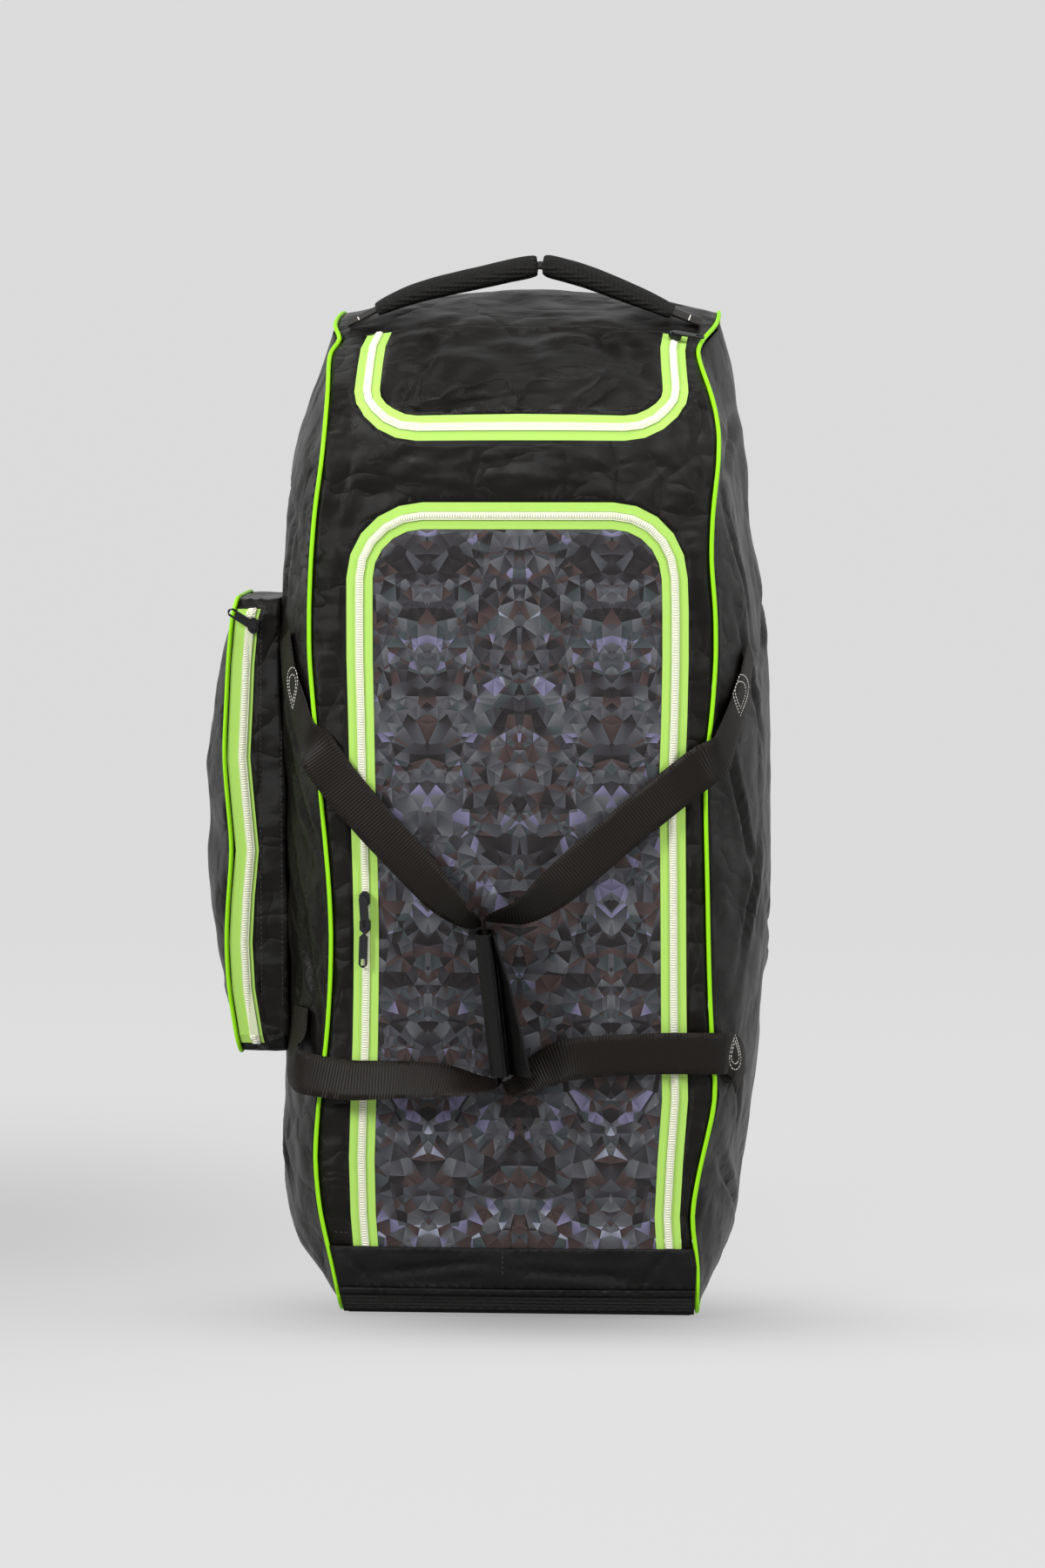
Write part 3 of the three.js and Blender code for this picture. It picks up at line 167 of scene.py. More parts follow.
WEDGES_LEAST = 4.5  # wedges in a cell, before rounding
WEDGES_MORE = 3.0
CELL_KEYS = (977.0, 613.0)  # spread the cells' own values, so that no two cells share their shades


def wedge_shade(nodes, links, flat, scale):
    """One flat value for each wedge of each cell, and how far round the wedge a point lies."""
    cells = nodes.new("ShaderNodeTexVoronoi")
    cells.voronoi_dimensions = "2D"
    cells.inputs["Scale"].default_value = scale
    cells.inputs["Randomness"].default_value = 1.0
    links.new(flat, cells.inputs["Vector"])
    offset = nodes.new("ShaderNodeVectorMath")
    offset.operation = "SUBTRACT"
    links.new(flat, offset.inputs[0])
    links.new(cells.outputs["Position"], offset.inputs[1])
    local = nodes.new("ShaderNodeSeparateXYZ")
    links.new(offset.outputs[0], local.inputs[0])
    tint = nodes.new("ShaderNodeSeparateColor")
    links.new(cells.outputs["Color"], tint.inputs[0])
    sums = partial(math_node, nodes, links)
    angle = sums("ARCTAN2", local.outputs["Y"], local.outputs["X"])
    wedges = sums("ROUND", sums("MULTIPLY_ADD", tint.outputs[1], WEDGES_MORE, WEDGES_LEAST))
    turned = sums("MULTIPLY_ADD", tint.outputs[0], 2 * math.pi, angle)
    share = sums("DIVIDE", sums("MULTIPLY", turned, wedges), 2 * math.pi)
    index = sums("FLOOR", share)
    key = nodes.new("ShaderNodeCombineXYZ")
    links.new(sums("MULTIPLY", tint.outputs[0], CELL_KEYS[0]), key.inputs["X"])
    links.new(sums("MULTIPLY", tint.outputs[2], CELL_KEYS[1]), key.inputs["Y"])
    whole = sums("MODULO", sums("ADD", index, wedges), wedges)
    links.new(whole, key.inputs["Z"])
    shade = nodes.new("ShaderNodeTexWhiteNoise")
    links.new(key.outputs[0], shade.inputs["Vector"])
    return shade.outputs["Value"], sums("FRACT", share)


# Shades of the print, from the least value to the greatest
PRINT_SHADES = [
    (0.0, (0.020, 0.018, 0.019)),
    (0.24, (0.034, 0.032, 0.036)),
    (0.36, (0.050, 0.035, 0.034)),
    (0.46, (0.052, 0.053, 0.060)),
    (0.56, (0.066, 0.066, 0.073)),
    (0.66, (0.046, 0.054, 0.058)),
    (0.73, (0.088, 0.090, 0.098)),
    (0.83, (0.135, 0.126, 0.205)),
    (0.93, (0.22, 0.23, 0.29)),
]
PRINT_TILE = 83.5 * MM  # the pattern turns back on itself at this width
SMALL_CELLS = 47.0  # to the metre
LARGE_CELLS = 21.0
SMALL_SHARE = 0.64


def print_material():
    """Dark low-poly print: cells cut into wedges round their centres, over larger wedges of the same kind."""
    made = material("print_cloth", (0.03, 0.03, 0.035), 0.5, specular=0.12)
    nodes, links, place, shader = graph(made)
    split = nodes.new("ShaderNodeSeparateXYZ")
    links.new(place, split.inputs[0])
    flat = nodes.new("ShaderNodeCombineXYZ")
    sums = partial(math_node, nodes, links)
    links.new(sums("PINGPONG", split.outputs["X"], PRINT_TILE), flat.inputs["X"])
    links.new(split.outputs["Z"], flat.inputs["Y"])
    small, within = wedge_shade(nodes, links, flat.outputs[0], SMALL_CELLS)
    large, _ = wedge_shade(nodes, links, flat.outputs[0], LARGE_CELLS)
    blended = sums("MULTIPLY_ADD", small, SMALL_SHARE, sums("MULTIPLY", large, 1 - SMALL_SHARE))
    ramp = nodes.new("ShaderNodeValToRGB")
    ramp.color_ramp.interpolation = "CONSTANT"
    while len(ramp.color_ramp.elements) < len(PRINT_SHADES):
        ramp.color_ramp.elements.new(1.0)
    for element, (position, colour) in zip(ramp.color_ramp.elements, PRINT_SHADES):
        element.position = position
        element.color = (*colour, 1.0)
    links.new(blended, ramp.inputs["Fac"])
    fade = sums("MULTIPLY_ADD", within, 0.5, 0.75)
    mixed = nodes.new("ShaderNodeVectorMath")
    mixed.operation = "SCALE"
    links.new(ramp.outputs["Color"], mixed.inputs[0])
    links.new(fade, mixed.inputs["Scale"])
    links.new(mixed.outputs[0], shader.inputs["Base Color"])
    add_bump(made, noise_height(made, 9.0, 3.0), 14 * MM, 0.3)
    add_bump(made, weave_height(made, 1.4 * MM), 0.15 * MM, 0.4)
    return made


def mesh_material(name, colour, pitch):
    """Open mesh: small round holes that read as a dark dot pattern."""
    made = material(name, colour, 0.75, specular=0.2)
    nodes, links, place, shader = graph(made)
    cells = nodes.new("ShaderNodeTexVoronoi")
    cells.inputs["Scale"].default_value = 1.0 / pitch
    cells.inputs["Randomness"].default_value = 0.15
    links.new(place, cells.inputs["Vector"])
    add_bump(made, cells.outputs["Distance"], 2.6 * MM, 1.0)
    return made


CLOTH = cloth_material("body_cloth", (0.0046, 0.0038, 0.0032), 0.36, 1.25)
SMOOTH_CLOTH = cloth_material("grip_cloth", (0.0055, 0.0052, 0.005), 0.34, 0.25)
BAND_CLOTH = cloth_material("band_cloth", (0.0055, 0.005, 0.0048), 0.45, 0.8)
PRINT = print_material()
WEBBING = material("webbing", (0.0078, 0.0058, 0.0043), 0.5, specular=0.16)
LIME = material("lime_piping", (0.28, 0.69, 0.004), 0.5, specular=0.25)
TAPE = material("zip_tape", (0.385, 0.65, 0.11), 0.75)
add_bump(TAPE, weave_height(TAPE, 1.5 * MM), 0.2 * MM, 0.5)
COIL = material("zip_coil", (0.86, 0.84, 0.73), 0.4)
COIL_BED = material("zip_coil_bed", (0.64, 0.7, 0.46), 0.7)
METAL = material("slider_metal", (0.018, 0.018, 0.02), 0.28, metallic=0.4)
THREAD = material("white_thread", (0.62, 0.6, 0.56), 0.6, sheen=0.1)
DARK_THREAD = material("dark_thread", (0.03, 0.028, 0.027), 0.6)
POCKET_MESH = mesh_material("pocket_mesh", (0.008, 0.0078, 0.0075), 3.2 * MM)
AIR_MESH = mesh_material("air_mesh", (0.006, 0.0055, 0.005), 4.2 * MM)
SLOT_MATERIAL = {"cloth": CLOTH, "print": PRINT, "webbing": WEBBING, "lime": LIME, "tape": TAPE}
SLOT_MATERIAL.update({"coil": COIL, "metal": METAL, "mesh": POCKET_MESH})
NODE_SLOT = {row["node"]: row["material_slot"] for row in frame["record"]["subparts"]}


# Meshes
def new_piece(name, points, faces, surface, replaced=()):
    mesh = bpy.data.meshes.new(name)
    mesh.from_pydata([tuple(p) for p in points], [], [tuple(f) for f in faces])
    mesh.update()
    return piece_from(name, mesh, surface, replaced)


def piece_from(name, mesh, surface, replaced=()):
    mesh.materials.clear()
    mesh.materials.append(surface)
    mesh.polygons.foreach_set("use_smooth", [True] * len(mesh.polygons))
    piece = bpy.data.objects.new(name, mesh)
    bpy.context.scene.collection.objects.link(piece)
    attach(piece, "root")
    if replaced:
        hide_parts(*replaced)
    return piece


def merged(node):
    made = bmesh.new()
    made.from_mesh(frame["nodes"][node].data)
    bmesh.ops.remove_doubles(made, verts=made.verts, dist=2e-6)
    return made


def refined(node, cell):
    """Copy of a node's mesh with no edge longer than a cell."""
    made = merged(node)
    for _ in range(7):
        long = [edge for edge in made.edges if edge.calc_length() > cell]
        if not long:
            break
        bmesh.ops.subdivide_edges(made, edges=long, cuts=1)
        bmesh.ops.triangulate(made, faces=[f for f in made.faces if len(f.verts) > 3])
    made.normal_update()
    return made


OUTWARD = {
    "front": Vector((0.0, -1.0, 0.6)).normalized(),
    "back": Vector((0.0, 1.0, 0.0)),
    "left": Vector((-1.0, 0.0, 0.0)),
    "right": Vector((1.0, 0.0, 0.0)),
}

# Folds of the cloth: panel, middle across and up, half length, half width, depth, lean in degrees.
# Across is x on the front and y on a side, and the lean is from upright. Lengths are in millimetres.
# A depth below 0 is a ridge.
FOLDS = [
    ("front", -95, 792, 48, 8, 2.4, 70),
    ("front", 92, 790, 52, 9, 2.6, -72),
    ("front", -20, 782, 60, 8, 1.6, 86),
    ("front", 30, 768, 55, 7, -1.3, 94),
    ("front", -158, 770, 38, 7, 2.4, 20),
    ("front", 160, 770, 40, 7, 2.2, -22),
    ("front", 40, 700, 90, 16, 1.4, 84),
    ("front", -60, 520, 90, 18, 1.5, 60),
    ("front", 60, 210, 90, 18, 1.6, -62),
    ("front", -70, 150, 80, 15, 1.5, 66),
    ("front", 0, 95, 110, 10, 1.4, 88),
    ("front", -90, 890, 40, 8, 2.0, 40),
    ("front", 80, 885, 44, 8, 2.0, -44),
    ("front", -30, 846, 60, 9, 2.4, 80),
    ("front", 62, 838, 50, 8, 2.2, 58),
    ("front", -104, 850, 40, 8, 2.4, 28),
    ("front", 112, 862, 42, 8, 2.2, -30),
    ("front", 12, 904, 70, 9, 2.0, 86),
    ("front", -150, 845, 60, 7, 2.6, 8),
    ("front", -158, 690, 60, 8, 2.2, 14),
    ("front", 156, 850, 60, 7, 2.4, -8),
    ("front", 160, 640, 70, 8, 2.2, -12),
    ("front", -84, 47, 70, 6, 1.9, 84),
    ("front", 48, 42, 80, 6, 1.8, 95),
    ("front", 124, 50, 30, 6, 1.8, 40),
    ("front", -146, 45, 30, 6, 1.8, -40),
    ("left", -120, 560, 70, 8, 4.0, 24),
    ("left", -132, 470, 60, 8, 3.5, 30),
    ("left", -112, 400, 60, 7, 4.0, 18),
    ("left", -128, 330, 60, 8, 3.6, 26),
    ("left", -104, 270, 50, 7, 3.0, -16),
    ("left", -60, 760, 80, 12, 4.0, 64),
    ("left", 40, 800, 90, 14, 4.0, 76),
    ("left", -110, 700, 60, 9, 3.0, -20),
    ("left", -70, 150, 60, 11, 3.6, 40),
    ("left", 60, 120, 80, 12, 3.6, 70),
    ("right", -110, 690, 70, 9, 3.5, -24),
    ("right", -90, 590, 75, 10, 4.2, -32),
    ("right", -120, 470, 70, 8, 4.2, -20),
    ("right", -100, 380, 60, 9, 3.6, 22),
    ("right", -110, 210, 60, 9, 4.2, -30),
    ("right", -80, 110, 70, 10, 4.0, -55),
    ("right", 30, 640, 120, 14, 4.0, 58),
    ("right", 60, 320, 120, 14, 4.2, -60),
    ("right", -40, 800, 90, 12, 4.0, 70),
    ("back", -40, 640, 130, 15, 3.5, 68),
    ("back", 60, 380, 140, 15, 3.5, -66),
    ("back", -60, 180, 120, 14, 3.5, 78),
    ("back", 40, 820, 110, 13, 3.0, 84),
]


FOLD_STRENGTH = 1.4  # times the depths in the table


def fold_depth(panel, points):
    """Depth of the folds at each point, in metres."""
    across = points[:, 0] if panel in ("front", "back") else points[:, 1]
    up = points[:, 2]
    depth = np.zeros(len(points))
    for where, x, z, half_length, half_width, deep, lean in FOLDS:
        if where != panel:
            continue
        turn = math.radians(lean)
        dx = across - x * MM
        dz = up - z * MM
        along = dx * math.sin(turn) + dz * math.cos(turn)
        aside = dx * math.cos(turn) - dz * math.sin(turn)
        aside = aside + 0.12 * half_width * MM * np.sin(along / (0.3 * half_length * MM))
        bell = np.exp(-0.5 * (along / (0.6 * half_length * MM)) ** 2)
        groove = np.exp(-0.5 * (aside / (0.5 * half_width * MM)) ** 2)
        past = (np.abs(aside) - 1.1 * half_width * MM) / (0.6 * half_width * MM)
        shoulder = 0.45 * np.exp(-0.5 * past**2)
        depth += FOLD_STRENGTH * deep * MM * bell * (groove - shoulder)
    return depth


def crumple(points, size, amount, seed):
    """Soft uneven waves of the cloth, in metres."""
    shift = Vector((3.7 * seed, 1.9 * seed, 5.3 * seed))
    return np.array([amount * noise.noise(Vector(p) / size + shift) for p in points])


SHARP_TURN = 0.85  # radians between two faces at a cut edge
SMOOTHING = 0.6  # share of the way to the neighbours' middle, each round
BROAD_WAVES = (0.06, 2.6 * MM)  # size and height, in metres
SMALL_WAVES = (0.026, 1.1 * MM)


def dress(node, panel, surface, cell=9 * MM, rounds=30, wave=1.0, free=14 * MM):
    """Smooth, folded cloth over a panel's solid. Its cut edges stay where the solid's are."""
    made = refined(node, cell)
    made.verts.ensure_lookup_table()
    points = np.array([v.co for v in made.verts])
    normals = np.array([v.normal for v in made.verts])
    edges = np.array([[e.verts[0].index, e.verts[1].index] for e in made.edges])
    sharp = [e for e in made.edges if len(e.link_faces) == 2 and e.calc_face_angle() > SHARP_TURN]
    fixed = np.zeros(len(points), bool)
    for edge in sharp:
        fixed[edge.verts[0].index] = True
        fixed[edge.verts[1].index] = True
    count = np.zeros(len(points))
    np.add.at(count, edges[:, 0], 1)
    np.add.at(count, edges[:, 1], 1)
    for _ in range(rounds):
        total = np.zeros_like(points)
        np.add.at(total, edges[:, 0], points[edges[:, 1]])
        np.add.at(total, edges[:, 1], points[edges[:, 0]])
        step = total / count[:, None] - points
        step = (step * normals).sum(1)[:, None] * normals
        step[fixed] = 0
        points = points + SMOOTHING * step
    border = KDTree(int(fixed.sum()))
    for i in np.flatnonzero(fixed):
        border.insert(Vector(points[i]), int(i))
    border.balance()
    away = np.array([border.find(Vector(p))[2] for p in points])
    ease = np.clip(away / free, 0, 1)
    ease = ease * ease * (3 - 2 * ease)
    out = OUTWARD[panel]
    facing = np.where(normals @ np.array(out) >= 0, 1.0, -1.0)
    seed = len(node)
    relief = -fold_depth(panel, points)
    relief += wave * (crumple(points, *BROAD_WAVES, seed) + crumple(points, *SMALL_WAVES, seed + 3))
    points = points + (relief * ease * facing)[:, None] * normals
    for vertex, point in zip(made.verts, points):
        vertex.co = point
    mesh = bpy.data.meshes.new("look_" + node)
    made.to_mesh(mesh)
    made.free()
    return piece_from("look_" + node, mesh, surface, (node,))


dress("front_panel", "front", CLOTH, wave=1.5)
dress("lid_panel", "front", PRINT, free=20 * MM, wave=0.45)
dress("top_pocket_panel", "front", CLOTH, wave=1.6)
dress("back_panel", "back", CLOTH)
dress("side_panel_left", "left", CLOTH, wave=1.1)
dress("side_panel_right", "right", CLOTH, wave=1.1)
dress("lower_band", "front", BAND_CLOTH, cell=6 * MM, free=6 * MM, wave=1.3)
dress("pocket_binding", "front", BAND_CLOTH, cell=6 * MM, free=3 * MM, rounds=6, wave=0.5)
dress("mesh_pocket", "front", POCKET_MESH, cell=6 * MM, free=6 * MM, wave=0.5)


# Side pocket: its walls keep their edges and get soft waves
for node, rounds, wave in (("side_pocket_gusset", 12, 0.8), ("side_pocket_panel", 14, 1.4)):
    dress(node, "left", CLOTH, cell=8 * MM, rounds=rounds, wave=wave, free=8 * MM)


def rounded(node, surface, levels=2, swell=0.0):
    """Closed rounded copy of a node, for piping and pads. swell makes up for what rounding takes off."""
    made = merged(node)
    made.normal_update()
    normals = [v.normal.copy() for v in made.verts]
    for vertex, normal in zip(made.verts, normals):
        vertex.co += normal * swell
    mesh = bpy.data.meshes.new("look_" + node)
    made.to_mesh(mesh)
    made.free()
    piece = piece_from("look_" + node, mesh, surface, (node,))
    modifier = piece.modifiers.new("round", "SUBSURF")
    modifier.levels = levels
    modifier.render_levels = levels
    return piece


for node in ("piping_left", "piping_right", "side_pocket_piping"):
    rounded(node, LIME, swell=0.3 * MM)
for node in ("handle_pad_left", "handle_pad_right"):
    pad = rounded(node, AIR_MESH, swell=0.6 * MM)

# Nodes that keep their own meshes
for node, piece in frame["nodes"].items():
    surface = SLOT_MATERIAL[NODE_SLOT[node]]
    if node in ("grip_wrap", "grip_flap"):
        surface = SMOOTH_CLOTH
    if NODE_SLOT[node] == "coil":
        surface = COIL_BED
    piece.data.materials.clear()
    piece.data.materials.append(surface)


# Straps: ribbed webbing through the rings of the strap's solid
def webbing_rings(node, width, thick):
    """Centre, across and up at each ring of a flat strap's solid, in order along it."""
    made = merged(node)
    made.verts.ensure_lookup_table()
    wide = [e for e in made.edges if abs(e.calc_length() - width) < 0.03 * MM]
    partner = {}
    for edge in made.edges:
        if abs(edge.calc_length() - thick) < 0.03 * MM:
            a, b = edge.verts
            partner.setdefault(a.index, set()).add(b.index)
            partner.setdefault(b.index, set()).add(a.index)
    rings = []
    used = set()
    for edge in wide:
        a, b = (v.index for v in edge.verts)
        if a in used or b in used:
            continue
        for other in wide:
            c, d = (v.index for v in other.verts)
            if c in used or d in used or {a, b} & {c, d}:
                continue
            if c in partner.get(a, ()) and d in partner.get(b, ()):
                rings.append((a, b, d, c))
            elif d in partner.get(a, ()) and c in partner.get(b, ()):
                rings.append((a, b, c, d))
            else:
                continue
            used |= {a, b, c, d}
            break
    owner = {v: n for n, ring in enumerate(rings) for v in ring}
    links = {n: set() for n in range(len(rings))}
    for edge in made.edges:
        a, b = (owner.get(v.index) for v in edge.verts)
        if a is not None and b is not None and a != b:
            links[a].add(b)
            links[b].add(a)
    centres = [sum((made.verts[v].co for v in ring), Vector()) / 4 for ring in rings]
    return made, rings, links, centres


def ordered_rings(node, width, thick):
    """Centre and across of each ring, from the upper end on. At a break, the nearest ring comes next."""
    made, rings, links, centres = webbing_rings(node, width, thick)
    ends = [n for n in links if len(links[n]) == 1]
    order = [max(ends, key=lambda n: centres[n].z)]
    while True:
        onward = [n for n in links[order[-1]] if n not in order]
        if not onward:
            here = centres[order[-1]]
            unused = [n for n in links if n not in order]
            onward = sorted(unused, key=lambda n: (centres[n] - here).length)
        if not onward:
            break
        order.append(onward[0])
    rows = []
    for n in order:
        a, b, c, d = (made.verts[v].co.copy() for v in rings[n])
        across = ((b - a) + (c - d)).normalized()
        if rows and across.dot(rows[-1][1]) < 0:
            across = -across
        rows.append([centres[n].copy(), across])
    made.free()
    return rows


def catmull(a, b, c, d, t):
    """Point between b and c on a smooth curve through all four."""
    return 0.5 * (2 * b + (c - a) * t + (2 * a - 5 * b + 4 * c - d) * t * t + (3 * b - a - 3 * c + d) * t**3)


PATH_SOFTENING = 9 * MM


def webbing(name, node, width, thick, pitch, ribs):
    """Strap with ribs across it, as one closed mesh."""
    rows = ordered_rings(node, width, thick)
    path = []
    for i in range(len(rows) - 1):
        a = rows[max(0, i - 1)]
        b, c = rows[i], rows[i + 1]
        d = rows[min(len(rows) - 1, i + 2)]
        steps = max(2, int((c[0] - b[0]).length / (pitch / 4)))
        for s in range(steps):
            t = s / steps
            across = catmull(a[1], b[1], c[1], d[1], t).normalized()
            smooth = catmull(a[0], b[0], c[0], d[0], t)
            straight = b[0].lerp(c[0], t)
            path.append((smooth.lerp(straight, 0.4), across))
    path.append((rows[-1][0], rows[-1][1]))
    reach = int(PATH_SOFTENING / (pitch / 4))
    soft = []
    for i in range(len(path)):
        span = min(reach, i, len(path) - 1 - i)
        near = path[i - span : i + span + 1]
        weights = [1 + span - abs(n - span) for n in range(len(near))]
        total = sum(weights)
        centre = sum((entry[0] * w for entry, w in zip(near, weights)), Vector()) / total
        across = sum((entry[1] * w for entry, w in zip(near, weights)), Vector()).normalized()
        soft.append((centre, across))
    path = soft
    columns = 7
    points = []
    travelled = 0.0
    for i, (centre, across) in enumerate(path):
        run = (path[min(i + 1, len(path) - 1)][0] - path[max(i - 1, 0)][0]).normalized()
        across = (across - run * across.dot(run)).normalized()
        up = run.cross(across)
        if i:
            travelled += (centre - path[i - 1][0]).length
        rib = ribs * (0.5 + 0.5 * math.cos(2 * math.pi * travelled / pitch))
        for side in (1, -1):
            for k in range(columns):
                share = (k / (columns - 1)) * 2 - 1
                edge = 1 - 0.55 * abs(share) ** 8
                height = side * (thick / 2 * edge - ribs + rib)
                points.append(centre + across * (side * share * width / 2) + up * height)
    ring = 2 * columns
    faces = []
    for i in range(len(path) - 1):
        for k in range(ring):
            n = (k + 1) % ring
            faces.append((i * ring + k, i * ring + n, (i + 1) * ring + n, (i + 1) * ring + k))
    last = (len(path) - 1) * ring
    faces.append(tuple(range(ring - 1, -1, -1)))
    faces.append(tuple(range(last, last + ring)))
    return new_piece(name, points, faces, WEBBING, (node,))


STRAP_WIDTH = 38 * MM
STRAP_THICK = 1.8 * MM
RIB_PITCH = 2.8 * MM
RIB_HEIGHT = 0.5 * MM
STRAPS = [
    webbing("look_" + node, node, STRAP_WIDTH, STRAP_THICK, RIB_PITCH, RIB_HEIGHT)
    for node in ("carry_strap_left", "carry_strap_right")
]


# Zip teeth along each coil
def coil_line(node, width, centre, plane):
    """Middle line of a coil's outer face, from the edges that cross it. centre lies inside the zip's U."""
    made = merged(node)
    crossing = []
    for edge in made.edges:
        if not 0.84 * width < edge.calc_length() < 1.14 * width:
            continue
        a, b = edge.verts
        normal = (a.normal + b.normal).normalized()
        if normal.dot(plane) < 0.3:
            continue
        middle = (a.co + b.co) / 2
        crossing.append((middle, (b.co - a.co).normalized(), normal))
    made.free()

    def turn(entry):
        away = entry[0] - centre
        sideways = plane.cross(Vector((0, 0, 1))).normalized()
        return math.atan2(away.dot(sideways), away.z)

    return crossing, turn


# A tooth is a low block with a smaller top
TOOTH_CORNERS = [(-1, -1, -1), (1, -1, -1), (1, 1, -1), (-1, 1, -1)]
TOOTH_CORNERS += [(-0.8, -0.5, 1), (0.8, -0.5, 1), (0.8, 0.5, 1), (-0.8, 0.5, 1)]
TOOTH_FACES = [(3, 2, 1, 0), (4, 5, 6, 7), (0, 1, 5, 4), (1, 2, 6, 5), (2, 3, 7, 6), (3, 0, 4, 7)]


def teeth(node, width, centre, plane, opening, pitch=2.3 * MM):
    crossing, turn = coil_line(node, width, centre, plane)
    crossing.sort(key=lambda entry: (turn(entry) - opening) % (2 * math.pi))
    points, faces = [], []
    size = (0.36 * width, 0.34 * pitch, 0.8 * MM)
    for (a, across_a, normal_a), (b, across_b, normal_b) in zip(crossing, crossing[1:]):
        length = (b - a).length
        if length > 0.09 or length < 1e-5:
            continue
        count = max(1, round(length / pitch))
        run = (b - a).normalized()
        if across_a.dot(across_b) < 0:
            across_b = -across_b
        for i in range(count):
            t = (i + 0.5) / count
            across = across_a.lerp(across_b, t).normalized()
            up = normal_a.lerp(normal_b, t).normalized()
            middle = a.lerp(b, t) + up * 0.1 * MM
            base = len(points)
            for x, y, z in TOOTH_CORNERS:
                points.append(middle + across * x * size[0] + run * y * size[1] + up * z * size[2])
            faces += [tuple(base + n for n in face) for face in TOOTH_FACES]
    return new_piece(node + "_teeth", points, faces, COIL)


FRONTWARD = Vector((0, -1, 0.0))
teeth("lid_zip_coil", 7.4 * MM, Vector((-0.003, -0.17, 0.42)), FRONTWARD, math.pi)
teeth("top_zip_coil", 7.4 * MM, Vector((-0.007, -0.09, 0.885)), Vector((0, -0.5, 0.85)), 0.0)
teeth("side_zip_coil", 8.0 * MM, Vector((-0.15, -0.085, 0.43)), FRONTWARD, -math.pi / 2)


# Stitches
def shown_tree(pieces):
    """Search tree over the shown faces of some pieces."""
    points, faces = [], []
    for piece in pieces:
        base = len(points)
        points += [piece.matrix_world @ v.co for v in piece.data.vertices]
        faces += [tuple(base + n for n in face.vertices) for face in piece.data.polygons]
    return BVHTree.FromPolygons(points, faces)


STITCH_RAYS = 12  # sight lines along each piece of a seam's line


def stitches(name, tree, pixels, length, width, surface, spacing=1.5, lift=0.25 * MM):
    """Row of thread stitches along a line of the photograph's pixels, laid on the first face behind it."""
    hits = []
    for (x0, y0), (x1, y1) in zip(pixels, pixels[1:]):
        for s in range(STITCH_RAYS):
            px = x0 + (x1 - x0) * s / STITCH_RAYS
            py = y0 + (y1 - y0) * s / STITCH_RAYS
            hit, normal, _, _ = tree.ray_cast(EYE, pixel_ray(px, py))
            if hit:
                hits.append((hit, normal if normal.dot(LOOK) < 0 else -normal))
    if len(hits) < 2:
        raise ValueError(name + " finds no face to lie on")
    places = [0.0]
    for (a, _), (b, _) in zip(hits, hits[1:]):
        places.append(places[-1] + (b - a).length)
    points, faces = [], []
    count = max(1, int(places[-1] / (length * spacing)))
    for i in range(count):
        ends = []
        for where in (i * length * spacing, i * length * spacing + length):
            k = min(len(hits) - 2, max(0, int(np.searchsorted(places, where)) - 1))
            span = max(1e-9, places[k + 1] - places[k])
            ends.append((hits[k][0].lerp(hits[k + 1][0], min(1, (where - places[k]) / span)), hits[k][1]))
        (a, normal), (b, _) = ends
        run = (b - a).normalized()
        across = run.cross(normal).normalized() * width / 2
        base = len(points)
        middle = (a + b) / 2
        for at, share, rise in ((a, 0.5, 0.0), (middle, 1.0, 1.0), (b, 0.5, 0.0)):
            top = at + normal * (lift + rise * width * 0.35)
            points += [top - across * share, top + across * share]
            points += [at + across * share - normal * width * 0.3, at - across * share - normal * width * 0.3]
        for r in (0, 4):
            for k in range(4):
                n = (k + 1) % 4
                faces.append((base + r + k, base + r + n, base + r + 4 + n, base + r + 4 + k))
        faces += [(base + 3, base + 2, base + 1, base), (base + 8, base + 9, base + 10, base + 11)]
    return new_piece(name, points, faces, surface)


def teardrop(x, y, half_width, half_height, tip, shrink=1.0):
    """Outline of a teardrop in pixels. tip is 1 where its point is below."""
    line = []
    for i in range(25):
        turn = 2 * math.pi * i / 24
        narrow = math.sin(turn / 2) ** 1.3
        across = half_width * shrink * math.sin(turn) * narrow
        up = tip * half_height * shrink * -math.cos(turn)
        line.append((x + across, y - up))
    return line


strap_tree = shown_tree(STRAPS)
DROPS = [
    ("stitch_left_top", 336, 790, 8, 24, 1),
    ("stitch_right_top", 850, 798, 13, 24, 1),
    ("stitch_right_foot", 844, 1208, 9, 20, -1),
]
for name, x, y, half_width, half_height, tip in DROPS:
    outer = teardrop(x, y, half_width, half_height, tip)
    stitches(name, strap_tree, outer, 2.6 * MM, 0.9 * MM, THREAD)
    inner = teardrop(x, y, half_width, half_height, tip, 0.66)
    stitches(name + "_inner", strap_tree, inner, 2.6 * MM, 0.9 * MM, THREAD)

band_tree = shown_tree([bpy.data.objects["look_lower_band"], bpy.data.objects["look_front_panel"]])
BAND_SEAM = [(384, 1414), (410, 1416), (440, 1425), (600, 1428), (750, 1422), (780, 1413)]
stitches("stitch_band", band_tree, BAND_SEAM, 3.2 * MM, 0.8 * MM, DARK_THREAD)
BAND_MIDDLE = [(577, 1424), (577, 1472)]
stitches("stitch_band_middle", band_tree, BAND_MIDDLE, 3.2 * MM, 0.9 * MM, DARK_THREAD)
gusset_tree = shown_tree([bpy.data.objects["look_side_pocket_gusset"]])
for name, x in (("stitch_gusset_front", 300), ("stitch_gusset_back", 324)):
    seam = [(x, 716), (x - 1, 900), (x + 1, 1180)]
    stitches(name, gusset_tree, seam, 3.2 * MM, 0.8 * MM, DARK_THREAD)
handle_tree = BVHTree.FromBMesh(merged("handle_webbing"))
HANDLE_TACKS = [
    ("stitch_handle_left", [(411, 364), (417, 377)]),
    ("stitch_handle_right", [(793, 362), (788, 375)]),
]
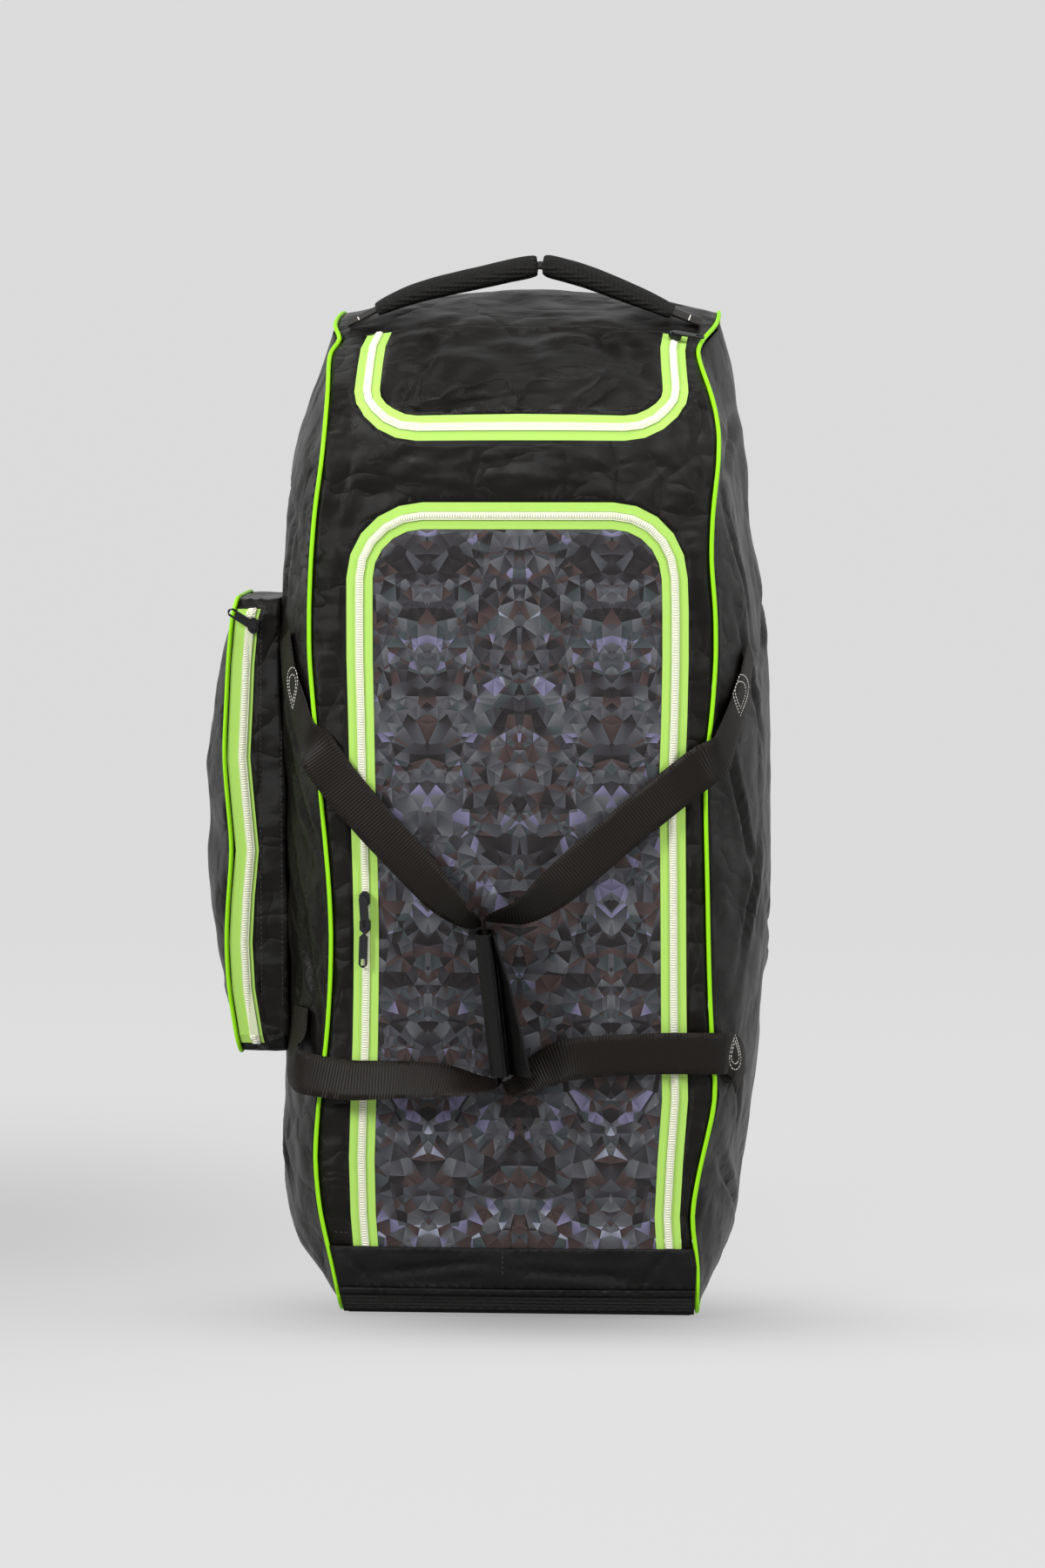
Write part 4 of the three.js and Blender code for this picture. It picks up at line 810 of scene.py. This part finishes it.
for name, tack in HANDLE_TACKS:
    stitches(name, handle_tree, tack, 2.5 * MM, 1.3 * MM, THREAD, 1.1)


# Floor and backdrop: one sheet that curves up behind the bag.
# Its own light is weaker in painted shadows on the floor, which stand in for the bag's cast shadows: middle x
# and y, reach across and back, share taken off.
PAINTED_FLOOR_SHADOWS = [
    (0.02, -0.16, 0.25, 0.1, 0.5),
    (-0.6, 0.2, 0.36, 0.5, 0.24),
]
BACKDROP_LIGHT = 0.69


def backdrop_material():
    made = material("backdrop", (0.05, 0.05, 0.05), 0.95, specular=0.0)
    nodes, links, place, shader = graph(made)
    split = nodes.new("ShaderNodeSeparateXYZ")
    links.new(place, split.inputs[0])
    sums = partial(math_node, nodes, links)
    left = None
    # Each entry is a painted shadow: the sheet's own light is dimmed in a soft patch, not blocked by the bag.
    for x, y, wide, deep, share in PAINTED_FLOOR_SHADOWS:
        across = sums("MULTIPLY", sums("SUBTRACT", split.outputs["X"], x), 1 / wide)
        back = sums("MULTIPLY", sums("SUBTRACT", split.outputs["Y"], y), 1 / deep)
        squares = sums("ADD", sums("POWER", across, 2.0), sums("POWER", back, 2.0))
        painted_shadow = sums("EXPONENT", sums("MULTIPLY", squares, -1.0))
        unshadowed = sums("MULTIPLY_ADD", painted_shadow, -share, 1.0)
        left = unshadowed if left is None else sums("MULTIPLY", left, unshadowed)
    shader.inputs["Emission Color"].default_value = (1.0, 1.0, 1.0, 1.0)
    links.new(sums("MULTIPLY", left, BACKDROP_LIGHT), shader.inputs["Emission Strength"])
    return made


BACKDROP = backdrop_material()
COVE_START = 5.0  # the floor runs back this far, clear of every camera place
COVE_RADIUS = 2.4
COVE_STEPS = 16
SHEET_REACH = 9.0  # forwards, to each side and up
profile = [(-SHEET_REACH, 0.0), (COVE_START, 0.0)]
for i in range(1, COVE_STEPS + 1):
    turn = math.radians(90 * i / COVE_STEPS)
    profile.append((COVE_START + COVE_RADIUS * math.sin(turn), COVE_RADIUS * (1 - math.cos(turn))))
profile.append((COVE_START + COVE_RADIUS, SHEET_REACH))
backdrop_points = [(x, y, z) for y, z in profile for x in (-SHEET_REACH, SHEET_REACH)]
backdrop_faces = [(2 * i, 2 * i + 1, 2 * i + 3, 2 * i + 2) for i in range(len(profile) - 1)]
backdrop_mesh = bpy.data.meshes.new("backdrop")
backdrop_mesh.from_pydata(backdrop_points, [], backdrop_faces)
backdrop_mesh.materials.append(BACKDROP)
backdrop_mesh.polygons.foreach_set("use_smooth", [True] * len(backdrop_mesh.polygons))
backdrop = bpy.data.objects.new("backdrop", backdrop_mesh)
bpy.context.scene.collection.objects.link(backdrop)

# Lights: name, place, size, power
LIGHTS = [
    ("key", (-2.3, -1.9, 2.3), 1.0, 100.0),
    ("fill", (2.6, -1.9, 1.6), 0.9, 58.0),
    ("front", (0.2, -3.8, 2.6), 1.0, 22.0),
    ("top", (0.1, -0.7, 3.2), 1.1, 44.0),
    ("rim_left", (-2.0, 0.9, 1.3), 1.2, 7.0),
    ("rim_right", (2.0, 0.9, 1.3), 1.2, 7.0),
]
for name, place, size, power in LIGHTS:
    light_data = bpy.data.lights.new(name, "AREA")
    light_data.size = size
    light_data.energy = power
    light = bpy.data.objects.new(name, light_data)
    bpy.context.scene.collection.objects.link(light)
    light.location = place
    light.rotation_euler = (AIM - Vector(place)).to_track_quat("-Z", "Y").to_euler()

world = bpy.data.worlds.new("studio")
world.use_nodes = True
world.node_tree.nodes["Background"].inputs["Color"].default_value = (0.93, 0.94, 0.96, 1.0)
world.node_tree.nodes["Background"].inputs["Strength"].default_value = 0.07
bpy.context.scene.world = world
bpy.context.scene.view_settings.view_transform = "Standard"
